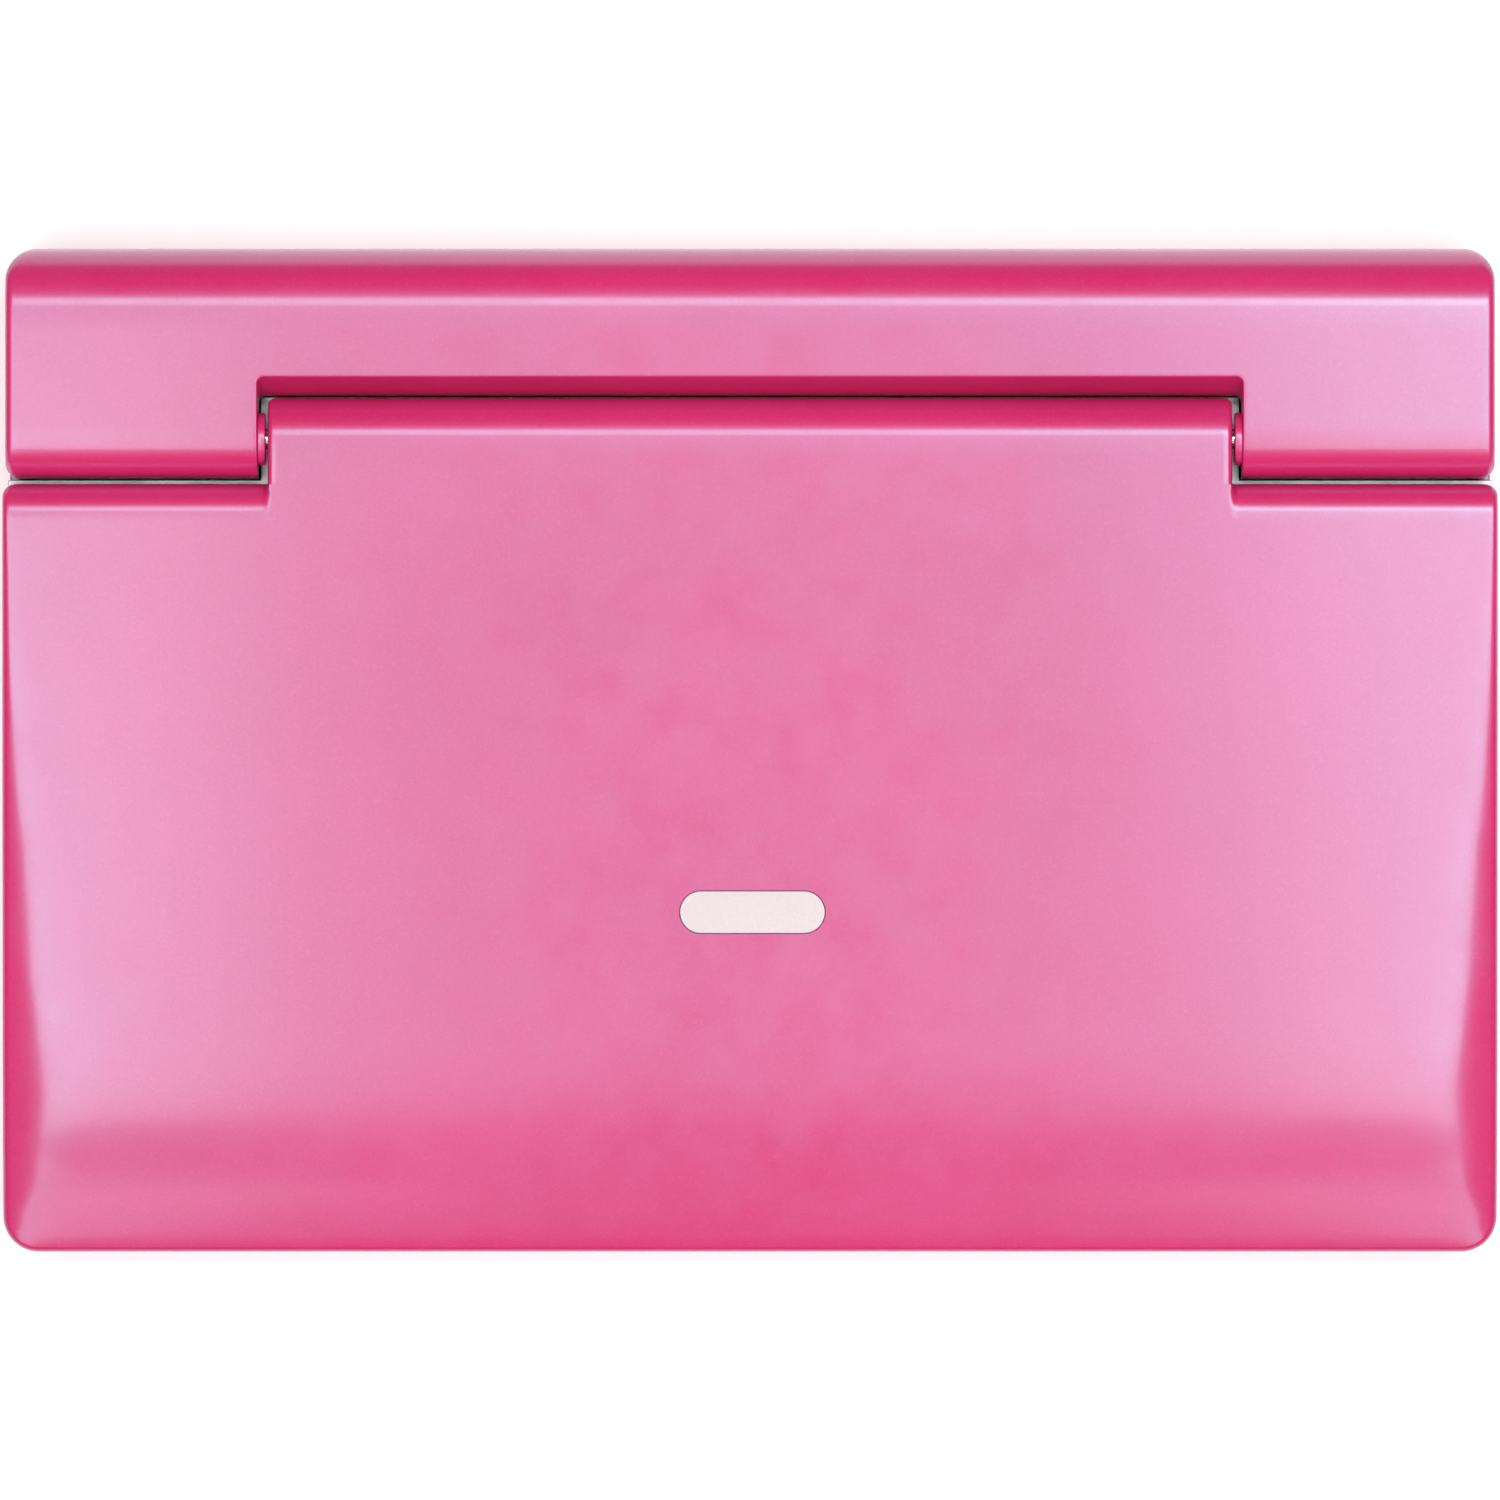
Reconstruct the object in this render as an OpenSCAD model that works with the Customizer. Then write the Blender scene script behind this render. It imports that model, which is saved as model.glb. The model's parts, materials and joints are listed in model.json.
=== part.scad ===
// Clamshell portable disc player: a base with a raised rear block, and a screen lid whose
// broad tongue turns inside a notch of that block.
// +Z is up, -Y is the front edge, and the origin lies under the middle, where the feet rest.

/* [Body] */
// Width of the closed lid
lid_w = 250; // [249:0.5:256]
// Depth of the closed player
body_d = 168; // [167.5:0.5:170]
// Thickness of the lid at its hinge side
lid_t = 14; // [14:0.5:16]
// Height of the top of the base above the table
deck_z = 22; // [22:0.5:24]
// Radius of the lid's front corners, seen from above
corner_r = 6; // [5:0.5:8]

/* [Rear block] */
// Depth of the raised block that holds the battery and the hinge
block_d = 38.5; // [38:0.5:40]
// Radius of the block's long rear edge
block_edge_r = 10; // [8:0.5:11]

/* [Hinge] */
// Width of the lid's tongue
tongue_w = 161.2; // [150:0.2:170]
// Side gap between the tongue and the block
tongue_gap = 1.75; // [1.2:0.05:2]
// Depth of the hinge axis under the lid's top face
axis_drop = 5; // [4.6:0.1:5]
// Radius of the two steel hinge shafts
shaft_r = 1.75; // [1.5:0.05:1.75]

/* [Disc bay] */
// Radius of the round well that takes a 120 mm disc
well_r = 61.5; // [61:0.1:61.5]
// Half width of the disc door
door_half_w = 67; // [66:0.5:67]
// Travel of the optical pickup
pickup_travel = 34; // [20:1:34]

/* [Keys] */
// Height of the key tops above the deck
key_rise = 0.4; // [0.2:0.1:0.5]
// Outer radius of the four-way key ring
ring_r = 17; // [15:0.5:17]

/* [Hidden] */
$fn = 48;

wall = 1.8;
shell_wall = 2;
foot_h = 1.6;
seam_z = 12;
floor_z = foot_h + shell_wall;
lid_gap = 0.8;
base_w = lid_w - 1;

y_front = -body_d / 2;
y_rear = body_d / 2;
block_y = y_rear - block_d;
shoulder_y = block_y - 1;
base_front = y_front + 0.5;

lid_z0 = deck_z + lid_gap;
lid_z1 = lid_z0 + lid_t;
lid_seam = lid_z0 + 3.5;

// The hinge axis runs along X.
axis_y = block_y + 6.5;
axis_z = lid_z1 - axis_drop;
tongue_x = tongue_w / 2;
notch_x = tongue_x + tongue_gap;
shaft_x0 = tongue_x - 9.6;
shaft_x1 = notch_x + 9.6;
arm_screws_x = [shaft_x0 - 11.4, shaft_x0 + 4.6];
arm_screw_y = axis_y - 8;
collar_r = 4.4;

// Front roll-off of the lid's top face: a long arc that starts here.
roll_y = -48;
roll_r = 103;
// The tongue ends in a round barrel, and the shoulders in a smaller round.
barrel_r = 6.5;
barrel_y = axis_y + 0.4;
shoulder_r = 4.7;

// The block's front edge is an arc that the lid's shoulders pass over.
nose_r = 7.1;
nose_y = axis_y + 0.64;
nose_z = axis_z - 1.71;
crease_y = block_y + 4.7;
// The notch's rear wall leans back, as the open lid does.
notch_low_y = axis_y + 7.4;
notch_top_y = axis_y + 10.3;
deck_rear_y = notch_low_y - 0.2;

// Disc bay
spindle_y = -18.2;
well_z = deck_z - 6.6;
ledge_z = deck_z - 2;
door_front = base_front + 2.9;
door_axis_y = 40.6;
door_axis_z = ledge_z;
door_barrel_r = 1.9;
door_knuckle = 10;
plate_z = deck_z - 11;
rail_z = plate_z - 2.9;
rail_dy = 17.5;
screw_dy = 24.5;
lens_x = 24;

// Controls
panel_x = 96;
panel_y = -34;
key_z0 = deck_z - 3.2;
key_top = deck_z + key_rise;
speaker_x = 93.5;
speaker_y = 20;
side_z = deck_z - 5.5;
wheel_x = base_w / 2 + 0.4 - 8;
wheel_y = -5;
slider_y = -36;
jacks_y = [34, 22, 10];
dc_y = 61;
dc_z = deck_z + 2;
open_x = 92;
open_y = -66;

// Screen
screen_w = 196.6;
screen_h = 110.6;
screen_y = -20;
lid_key_x = 16;
lid_key_y = 41.4;

// Fastener and foot places, as [x, y] of the right-hand one of each pair
feet_at = [[106, -70], [100, 70]];
deck_screws_at = [[116, -75], [74.5, 41]];
block_screw_at = [116, 73];
hinge_post_at = [94, 52];
cover_screw_at = [78, 68];
// These four are measured from the spindle.
loader_posts_at = [[-22, -30.5], [-22, 30.5], [74, -30.5], [74, 30.5]];

// ---------------------------------------------------------------- helpers

module rect(x0, x1, y0, y1) {
    translate([x0, y0]) square([x1 - x0, y1 - y0]);
}

module box(x0, x1, y0, y1, z0, z1) {
    translate([x0, y0, z0]) cube([x1 - x0, y1 - y0, z1 - z0]);
}

module post(x, y, z0, z1, r) {
    translate([x, y, z0]) cylinder(h = z1 - z0, r = r);
}

module rod_x(x0, x1, y, z, r) {
    translate([x0, y, z]) rotate([0, 90, 0]) cylinder(h = x1 - x0, r = r);
}

// A pill: a bar with round ends, w long and d wide.
module pill(w, d) {
    square([w - d, d], center = true);
    for (s = [-1, 1]) translate([s * (w - d) / 2, 0]) circle(r = d / 2);
}

// A centred slab in plan, with its own radii at the front and the rear corners.
module slab(w, y0, y1, rf, rr) {
    mid = (y0 + y1) / 2;
    rect(-w / 2, w / 2, y0 + rf, y1 - rr);
    rect(-w / 2 + rf, w / 2 - rf, y0, mid);
    rect(-w / 2 + rr, w / 2 - rr, mid, y1);
    for (s = [-1, 1]) {
        translate([s * (w / 2 - rf), y0 + rf]) circle(r = rf);
        translate([s * (w / 2 - rr), y1 - rr]) circle(r = rr);
    }
}

module along_z(z0, z1) {
    translate([0, 0, z0]) linear_extrude(z1 - z0) children();
}

// Extrudes a (y, z) outline along X.
module along_x(x0, x1) {
    translate([x0, 0, 0]) rotate([90, 0, 90]) linear_extrude(x1 - x0) children();
}

// Extrudes an (x, z) outline along Y.
module along_y(y0, y1) {
    translate([0, y1, 0]) rotate([90, 0, 0]) linear_extrude(y1 - y0) children();
}

module both_sides() {
    children();
    mirror([1, 0, 0]) children();
}

// ---------------------------------------------------------------- lid

// The lid's main part in side view, shrunk by t.
module lid_side(t) {
    rect(roll_y, shoulder_y - t - shoulder_r + t, lid_z0 + t, lid_z1 - t);
    rect(roll_y, shoulder_y - t, lid_z0 + t, lid_z1 - shoulder_r);
    translate([shoulder_y - shoulder_r, lid_z1 - shoulder_r]) circle(r = shoulder_r - t);
    intersection() {
        rect(y_front - 1, roll_y + 1, lid_z0 + t, lid_z1 - t);
        translate([roll_y, lid_z1 - roll_r]) circle(r = roll_r - t);
    }
}

// The tongue in side view: a plate that ends in the hinge barrel.
module tongue_side(t) {
    rect(shoulder_y - 9, barrel_y, lid_z1 - barrel_r, lid_z1 - t);
    translate([barrel_y, lid_z1 - barrel_r]) circle(r = barrel_r - t);
    rect(shoulder_y - 9, shoulder_y - t, lid_z0 + t, lid_z1 - barrel_r + 1);
    polygon([[shoulder_y - t - 0.5, lid_z0 + t], [barrel_y, lid_z1 - 2 * barrel_r + t],
             [barrel_y, lid_z1 - barrel_r + 1], [shoulder_y - t - 0.5, lid_z1 - barrel_r + 1]]);
}

// The lid's outer shape, shrunk by t all round.
module lid_shape(t) {
    intersection() {
        along_z(lid_z0 - 1, lid_z1 + 1)
            slab(lid_w - 2 * t, y_front + t, shoulder_y - t, corner_r - t, 2.4 - t / 3);
        along_x(-lid_w, lid_w) lid_side(t);
        along_y(-body_d, body_d) {
            rect(-lid_w / 2 + 2, lid_w / 2 - 2, lid_z0 + t, lid_z1 - t);
            rect(-lid_w / 2 + t, lid_w / 2 - t, lid_z0 + t, lid_z1 - 2);
            for (s = [-1, 1])
                translate([s * (lid_w / 2 - 2.1), lid_z1 - 2.1]) circle(r = 2.1 - t);
        }
    }
    along_x(-tongue_x + t, tongue_x - t) tongue_side(t);
}

module lid_cover() {
    color([0.88, 0.30, 0.55]) difference() {
        intersection() {
            lid_shape(0);
            box(-lid_w, lid_w, -body_d, body_d, lid_seam, lid_z1 + 1);
        }
        lid_shape(wall);
        rod_x(-lid_w, lid_w, axis_y, axis_z, shaft_r + 0.45);
        along_z(lid_z1 - 0.9, lid_z1 + 1) translate([0.4, -27.1]) pill(24.5, 7.3);
    }
    color([0.88, 0.30, 0.55]) both_sides() for (x = arm_screws_x) difference() {
        post(x, arm_screw_y, axis_z - 1.8, lid_z1 - wall + 0.4, 2.4);
        post(x, arm_screw_y, axis_z - 2, axis_z + 2, 0.95);
    }
}

module lid_bezel() {
    color([0.78, 0.78, 0.80]) difference() {
        intersection() {
            lid_shape(0);
            box(-lid_w, lid_w, -body_d, body_d, lid_z0 - 1, lid_seam);
        }
        lid_shape(wall);
        along_z(lid_z0 - 1, lid_seam + 1) translate([0, screen_y])
            square([screen_w + 0.8, screen_h + 0.8], center = true);
        along_z(lid_z0 - 1, lid_z0 + 1) surround_outline(0.15);
        for (s = [-1, 1]) along_z(lid_z0 - 1, lid_seam)
            translate([s * lid_key_x, lid_key_y]) pill(8.6, 3);
        both_sides() for (y = [y_front + 4.2, shoulder_y - 5.5])
            post(lid_w / 2 - 6, y, lid_z0 - 1, lid_z0 + 0.5, 2.5);
    }
}

module surround_outline(t) {
    slab(screen_w + 16 + 2 * t, screen_y - screen_h / 2 - 4.6 - t,
         screen_y + screen_h / 2 + 3.2 + t, 2.5, 2.5);
}

// Glossy frame round the picture
module screen_surround() {
    color([0.03, 0.03, 0.035]) along_z(lid_z0, lid_z0 + 1) difference() {
        surround_outline(0);
        translate([0, screen_y]) square([screen_w, screen_h], center = true);
    }
}

module lcd_glass() {
    color([0.02, 0.02, 0.03]) along_z(lid_z0 + 1.05, lid_z0 + 1.9) translate([0, screen_y])
        square([screen_w + 0.6, screen_h + 0.6], center = true);
}

// Steel-backed panel with its light guide
module lcd_module() {
    color([0.66, 0.67, 0.68]) difference() {
        box(-104, 104, screen_y - 58, screen_y + 57.6, lid_z0 + 2, lid_z0 + 6.4);
        both_sides() box(95, 105, screen_y + 50, screen_y + 58, lid_z0 + 4.4, lid_z0 + 7);
    }
}

// Plain flush inlay in the lid's top
module badge() {
    color([0.93, 0.88, 0.90]) along_z(lid_z1 - 0.85, lid_z1)
        translate([0.4, -27.1]) pill(24.2, 7);
}

// A knuckle round each hinge shaft, with a plate that screws into the lid
module lid_hinge_arms() {
    x0 = shaft_x0 + 0.6;
    x1 = tongue_x - wall - 0.4;
    color([0.60, 0.61, 0.63]) both_sides() difference() {
        union() {
            rod_x(x0, x1, axis_y, axis_z, 3);
            box(x0, x1, axis_y - 6, axis_y, axis_z - 2.9, axis_z - 1.8);
            box(x0 - 16, x1, axis_y - 11.5, axis_y - 4.5, axis_z - 2.9, axis_z - 1.8);
        }
        rod_x(x0 - 1, x1 + 1, axis_y, axis_z, shaft_r + 0.05);
        for (x = arm_screws_x) post(x, arm_screw_y, axis_z - 4, axis_z, 1.1);
    }
}

module lid_bumpers() {
    color([0.12, 0.12, 0.12]) both_sides() for (y = [y_front + 4.2, shoulder_y - 5.5])
        post(lid_w / 2 - 6, y, lid_z0 - 0.7, lid_z0 + 0.5, 2.4);
}

// Backlight and picture board behind the panel
module lid_board() {
    z = lid_z0 + 6.6;
    color([0.08, 0.35, 0.20]) {
        box(-90, 90, 2, 30, z, z + 1);
        box(-70, -54, 8, 22, z + 1, z + 2.4);
        box(-30, -18, 10, 20, z + 1, z + 2.2);
        box(20, 44, 8, 14, z + 1, z + 3);
        box(58, 84, 6, 24, z + 1, z + 3.6);
    }
}

module lid_screws() {
    color([0.35, 0.35, 0.36]) both_sides() for (x = arm_screws_x) {
        post(x, arm_screw_y, axis_z - 3.9, axis_z - 2.9, 1.9);
        post(x, arm_screw_y, axis_z - 2.9, axis_z + 1.6, 0.9);
    }
}

// Picture cable, from the hollow left shaft to the board in the lid
module display_cable_lid() {
    x = -shaft_x0 + 6;
    color([0.10, 0.10, 0.10]) {
        rod_x(-shaft_x0 + 0.1, x, axis_y, axis_z, 0.9);
        translate([x, axis_y, axis_z]) sphere(r = 0.9);
        translate([x, axis_y, axis_z]) rotate([90, 0, 0]) cylinder(h = 24, r = 0.9);
        box(x - 4, x + 4, 24, 30, axis_z - 1.4, axis_z + 1.4);
    }
}

module bright_key(side) {
    color([0.10, 0.10, 0.11]) translate([side * lid_key_x, lid_key_y, 0]) {
        along_z(lid_z0 - 0.2, lid_z0 + 2) pill(8, 2.4);
        along_z(lid_z0 + 2, lid_z0 + 2.6) pill(9.4, 3.4);
    }
}

// ---------------------------------------------------------------- base shells

// The base in plan, shrunk by t.
module base_plan(t) {
    slab(base_w - 2 * t, base_front + t, y_rear - t, corner_r - t, 5.4 - t);
}

// The lower shell's outer shape, with round long edges underneath.
module lower_shape(t) {
    r = 5;
    intersection() {
        along_z(foot_h + t, seam_z + t) base_plan(t);
        along_x(-base_w, base_w) {
            rect(base_front, y_rear, foot_h + r, 40);
            rect(base_front + r, y_rear - r, foot_h + t, 40);
            for (y = [base_front + r, y_rear - r]) translate([y, foot_h + r]) circle(r = r - t);
        }
        along_y(-body_d, body_d) {
            rect(-base_w / 2, base_w / 2, foot_h + r, 40);
            rect(-base_w / 2 + r, base_w / 2 - r, foot_h + t, 40);
            for (s = [-1, 1])
                translate([s * (base_w / 2 - r), foot_h + r]) circle(r = r - t);
        }
    }
}

module battery_outline(t) {
    slab(172 + 2 * t, 57.6 - t, 78.4 + t, 2, 2);
}

module base_shell() {
    color([0.86, 0.22, 0.48]) difference() {
        union() {
            difference() {
                lower_shape(0);
                lower_shape(shell_wall);
            }
            both_sides() {
                for (p = deck_screws_at) post(p[0], p[1], floor_z - 1, seam_z, 3.5);
                post(block_screw_at[0], block_screw_at[1], floor_z - 1, seam_z, 3.5);
                post(hinge_post_at[0], hinge_post_at[1], floor_z - 1, seam_z, 3.8);
            }
            for (p = loader_posts_at)
                post(p[0], spindle_y + p[1], floor_z - 1, plate_z - 1.6, 2.6);
            for (p = [[-116, -60], [-76, -60], [-116, 30], [112, 52]])
                post(p[0], p[1], floor_z - 1, floor_z + 2.4, 2.4);
            // Rim that the battery cover closes against
            box(-89, 89, 56, 80.4, floor_z - 1, floor_z + 0.4);
            post(cover_screw_at[0], cover_screw_at[1], floor_z, floor_z + 6, 3.2);
        }
        both_sides() {
            for (p = concat(deck_screws_at, [block_screw_at])) {
                post(p[0], p[1], 0, floor_z + 1, 2.9);
                post(p[0], p[1], 0, deck_z, 1.3);
            }
            for (p = feet_at) post(p[0], p[1], 0, foot_h + 0.8, 6.1);
            post(hinge_post_at[0], hinge_post_at[1], floor_z + 4, deck_z + 3, 1.1);
        }
        for (p = loader_posts_at) post(p[0], spindle_y + p[1], floor_z + 1, plate_z, 1.1);
        along_z(0, foot_h + 1.8) battery_outline(0.2);
        box(-80.5, 54.5, 58.6, 77.8, 0, floor_z + 1);
        post(cover_screw_at[0], cover_screw_at[1], 0, floor_z + 5, 1.1);
        // Cooling slots in the floor
        for (i = [0:6]) along_z(0, floor_z + 1) translate([-94, -44 + i * 5]) pill(30, 2);
    }
}

module battery_cover() {
    color([0.86, 0.22, 0.48]) difference() {
        along_z(foot_h, foot_h + 1.6) battery_outline(0);
        for (i = [0:3]) along_z(0, foot_h + 0.5) translate([-76, 62.6 + i * 3.6]) pill(12, 1.2);
        post(cover_screw_at[0], cover_screw_at[1], 0, foot_h + 0.9, 2.6);
        post(cover_screw_at[0], cover_screw_at[1], 0, foot_h + 3, 1.2);
    }
}

module deck_plan(t) {
    intersection() {
        base_plan(t);
        rect(-base_w, base_w, -body_d, block_y - 0.2);
    }
}

// Silver top of the base, with the door's frame, the key holes and the speaker seats
module base_deck() {
    color([0.76, 0.77, 0.79]) difference() {
        union() {
            difference() {
                along_z(seam_z, deck_z) deck_plan(0);
                along_z(seam_z - 1, ledge_z) deck_plan(shell_wall);
            }
            // The plate goes on under the tongue, as far as the notch's wall.
            box(-notch_x + 0.25, notch_x - 0.25, block_y - 1, deck_rear_y, ledge_z, deck_z);
            both_sides() for (p = deck_screws_at)
                post(p[0], p[1], seam_z, ledge_z + 0.5, 3.5);
        }
        door_space();
        // Keys and buttons
        post(panel_x, panel_y, ledge_z - 1, deck_z + 1, ring_r + 0.4);
        for (p = pill_keys_at) along_z(ledge_z - 1, deck_z + 1)
            translate([-panel_x + p[0], panel_y + p[1]]) pill(15.5, 7.5);
        along_z(ledge_z - 1, deck_z + 1) translate([open_x + 1.25, open_y]) pill(20.5, 7.2);
        for (i = [-1:1]) post(panel_x + i * 7, -11, ledge_z - 1, deck_z + 1, 1.15);
        // Speaker seats
        both_sides() {
            post(speaker_x, speaker_y, ledge_z - 1, deck_z + 1, 13);
            post(speaker_x, speaker_y, deck_z - 0.8, deck_z + 1, 15.2);
        }
        // Side wall: jacks, wheel, power slider; front wall: infrared window
        for (y = jacks_y) rod_x(base_w / 2 - 5, base_w / 2 + 1, y, side_z, 3.6);
        box(base_w / 2 - 4, base_w / 2 + 1, wheel_y - 7, wheel_y + 7, side_z - 1.6, side_z + 1.6);
        along_x(base_w / 2 - 4, base_w / 2 + 1) translate([slider_y, side_z]) pill(14.4, 3.4);
        along_y(base_front - 1, base_front + 3) translate([panel_x, side_z]) pill(13, 5);
        both_sides() for (p = deck_screws_at) post(p[0], p[1], 0, ledge_z - 1, 1.1);
    }
}

// What the door and its hinge need: a recess, a round trough and a pair of pin holes.
module door_space() {
    x = door_half_w + 0.5;
    r = door_barrel_r + 0.45;
    box(-x, x, door_front - 0.5, door_axis_y, ledge_z, deck_z + 1);
    box(-x, x, door_axis_y - 1, door_axis_y + r, door_axis_z, deck_z + 1);
    rod_x(-x, x, door_axis_y, door_axis_z, r);
    both_sides() rod_x(door_half_w - 2, door_half_w + 2, door_axis_y, door_axis_z, 0.93);
}

// Rim of the round well, whose flat top is the ledge that the door lies on
module disc_tray() {
    color([0.30, 0.30, 0.32]) difference() {
        union() {
            post(0, spindle_y, well_z, ledge_z, well_r + 1.6);
            box(-door_half_w - 2.5, door_half_w + 2.5, base_front + 2.1, 45, ledge_z - 3.4, ledge_z);
        }
        post(0, spindle_y, well_z - 1, deck_z, well_r);
        door_space();
        // Pocket for the door's catch, open to the latch slide
        box(59.4, 90, open_y - 3.6, open_y + 3.6, ledge_z - 4, ledge_z + 1);
    }
}

// The disc turns just above this plate.
module well_floor() {
    color([0.30, 0.30, 0.32]) difference() {
        post(0, spindle_y, well_z - 1.6, well_z, well_r + 1.6);
        post(0, spindle_y, 0, well_z + 1, 17.5);
        along_z(0, well_z + 1) translate([lens_x + pickup_travel / 2 - 1.2, spindle_y])
            pill(pickup_travel + 12, 11);
    }
}

// Where the six round-ended keys sit, from the middle of the left panel
pill_keys_at = [[-10, 12], [10, 12], [-10, 0], [10, 0], [-10, -12], [10, -12]];

// The block in side view, shrunk by t.
module block_side(t) {
    rect(crease_y, y_rear - block_edge_r, seam_z - 1, lid_z1 - t);
    rect(block_y + t, y_rear - t, seam_z - 1, lid_z1 - block_edge_r);
    translate([y_rear - block_edge_r, lid_z1 - block_edge_r]) circle(r = block_edge_r - t);
    intersection() {
        rect(block_y + t, crease_y + 1, seam_z - 1, lid_z1 - t);
        union() {
            translate([nose_y, nose_z]) circle(r = nose_r - t);
            rect(block_y + t, crease_y + 1, seam_z - 1, nose_z);
        }
    }
}

// The space that the tongue turns in, grown by t.
module notch_shape(t, z0) {
    along_x(-notch_x - t, notch_x + t)
        polygon([[block_y - 5, z0], [notch_low_y + t, z0], [notch_low_y + t, axis_z - 1],
                 [notch_top_y + t, lid_z1], [notch_top_y + t, lid_z1 + 5],
                 [block_y - 5, lid_z1 + 5]]);
}

module block_shape(t) {
    intersection() {
        along_z(seam_z - (t > 0 ? 1 : 0), lid_z1 + 1)
            slab(base_w - 2 * t, block_y + t, y_rear - t, 2.2 - t / 3, 5.4 - t);
        along_x(-base_w, base_w) block_side(t);
        along_y(-body_d, body_d) {
            rect(-base_w / 2 + t, base_w / 2 - t, seam_z - 1, lid_z1 - 2.2);
            rect(-base_w / 2 + 2.2, base_w / 2 - 2.2, seam_z - 1, lid_z1 - t);
            for (s = [-1, 1])
                translate([s * (base_w / 2 - 2.2), lid_z1 - 2.2]) circle(r = 2.2 - t);
        }
    }
}

module rear_housing() {
    color([0.88, 0.30, 0.55]) difference() {
        union() {
            difference() {
                block_shape(0);
                difference() {
                    block_shape(shell_wall);
                    notch_shape(shell_wall, ledge_z);
                }
            }
            both_sides() difference() {
                post(block_screw_at[0], block_screw_at[1], seam_z, lid_z1 - 1, 3.5);
                post(block_screw_at[0], block_screw_at[1], seam_z - 1, seam_z + 16, 1.1);
            }
        }
        difference() {
            notch_shape(0, 0);
            // A collar round each shaft stands out into the gap beside the tongue.
            both_sides() rod_x(notch_x - 1.3, notch_x + 1, axis_y, axis_z, collar_r);
        }
        rod_x(-shaft_x1 - 6, shaft_x1 + 6, axis_y, axis_z, shaft_r + 0.45);
        rod_x(base_w / 2 - 5, base_w / 2 + 1, dc_y, dc_z, 4.2);
        // Cooling slots low in the rear face
        for (i = [0:8]) along_y(y_rear - 5, y_rear + 1) translate([-96 + i * 5, 22])
            rotate(90) pill(9, 2);
    }
}

module rubber_feet() {
    color([0.10, 0.10, 0.10]) both_sides() for (p = feet_at) post(p[0], p[1], 0, foot_h + 0.8, 6);
}

module case_screws() {
    color([0.30, 0.30, 0.31]) {
        both_sides() {
            for (p = deck_screws_at) {
                post(p[0], p[1], floor_z - 0.6, floor_z + 1, 2.6);
                post(p[0], p[1], floor_z + 1, deck_z - 4, 1.05);
            }
            post(block_screw_at[0], block_screw_at[1], floor_z - 0.6, floor_z + 1, 2.6);
            post(block_screw_at[0], block_screw_at[1], floor_z + 1, seam_z + 14, 1.05);
        }
        post(cover_screw_at[0], cover_screw_at[1], foot_h + 0.2, foot_h + 0.9, 2.4);
        post(cover_screw_at[0], cover_screw_at[1], foot_h + 0.9, foot_h + 6, 1.05);
    }
}

// ---------------------------------------------------------------- inside the base

// Two 18 x 65 mm cells, end to end
module battery_cells() {
    color([0.10, 0.35, 0.60]) for (x = [-46, 20])
        rod_x(x - 32.3, x + 32.3, 68.2, floor_z + 9.8, 9.1);
}

// Board that wraps round the disc drive
module main_board() {
    z = floor_z + 2.4;
    color([0.05, 0.33, 0.18]) along_z(z, z + 1.6) difference() {
        union() {
            rect(-121, -68, -66, 56.5);
            rect(-121, 121, 46.5, 56.5);
        }
        for (s = [-1, 1]) {
            translate([s * hinge_post_at[0], hinge_post_at[1]]) circle(r = 4.2);
            translate([s * deck_screws_at[1][0], deck_screws_at[1][1]]) circle(r = 4);
        }
    }
}

module board_chips() {
    z = floor_z + 4;
    color([0.06, 0.06, 0.07]) {
        box(-108, -84, -34, -10, z, z + 1.6);
        box(-106, -86, -6, 3, z, z + 1.2);
        box(-84, -72, 8, 26, z, z + 1.2);
        box(-116, -104, 10, 22, z, z + 1.4);
        box(-60, -48, 48, 55, z, z + 2);
        box(20, 34, 48, 55, z, z + 1.8);
        for (x = [50, 58, 66]) post(x, 52, z, z + 6, 2.6);
        for (y = [-58, -50, -42]) post(-76, y, z, z + 4, 2.2);
    }
}

// A socket for a 3.5 mm plug: a block with a nose in the side wall
module small_jack(y) {
    x1 = base_w / 2 - shell_wall - 0.1;
    difference() {
        union() {
            box(109.2, x1, y - 4.5, y + 4.5, side_z - 3.2, side_z + 3.2);
            rod_x(x1 - 1, base_w / 2 - 0.2, y, side_z, 3.5);
        }
        rod_x(base_w / 2 - 14.2, base_w / 2 + 1, y, side_z, 1.8);
    }
}

module headphone_jacks() {
    color([0.08, 0.08, 0.09]) for (i = [0, 1]) small_jack(jacks_y[i]);
}

module av_jack() {
    color([0.85, 0.70, 0.10]) small_jack(jacks_y[2]);
}

// Power socket with its centre pin
module dc_jack() {
    x1 = base_w / 2 - shell_wall - 0.1;
    color([0.07, 0.07, 0.08]) {
        difference() {
            union() {
                box(108, x1, dc_y - 5, dc_y + 5, dc_z - 5, dc_z + 5);
                rod_x(x1 - 1, base_w / 2 - 0.3, dc_y, dc_z, 4);
            }
            rod_x(base_w / 2 - 10, base_w / 2 + 1, dc_y, dc_z, 2.9);
        }
        rod_x(base_w / 2 - 10.5, base_w / 2 - 1.2, dc_y, dc_z, 0.95);
    }
}

// The left shaft is hollow, for the picture cable.
module hinge_shafts() {
    color([0.72, 0.73, 0.75]) {
        rod_x(shaft_x0, shaft_x1, axis_y, axis_z, shaft_r);
        difference() {
            rod_x(-shaft_x1, -shaft_x0, axis_y, axis_z, shaft_r);
            rod_x(-shaft_x1 - 1, -shaft_x0 + 1, axis_y, axis_z, 1);
        }
    }
}

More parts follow.
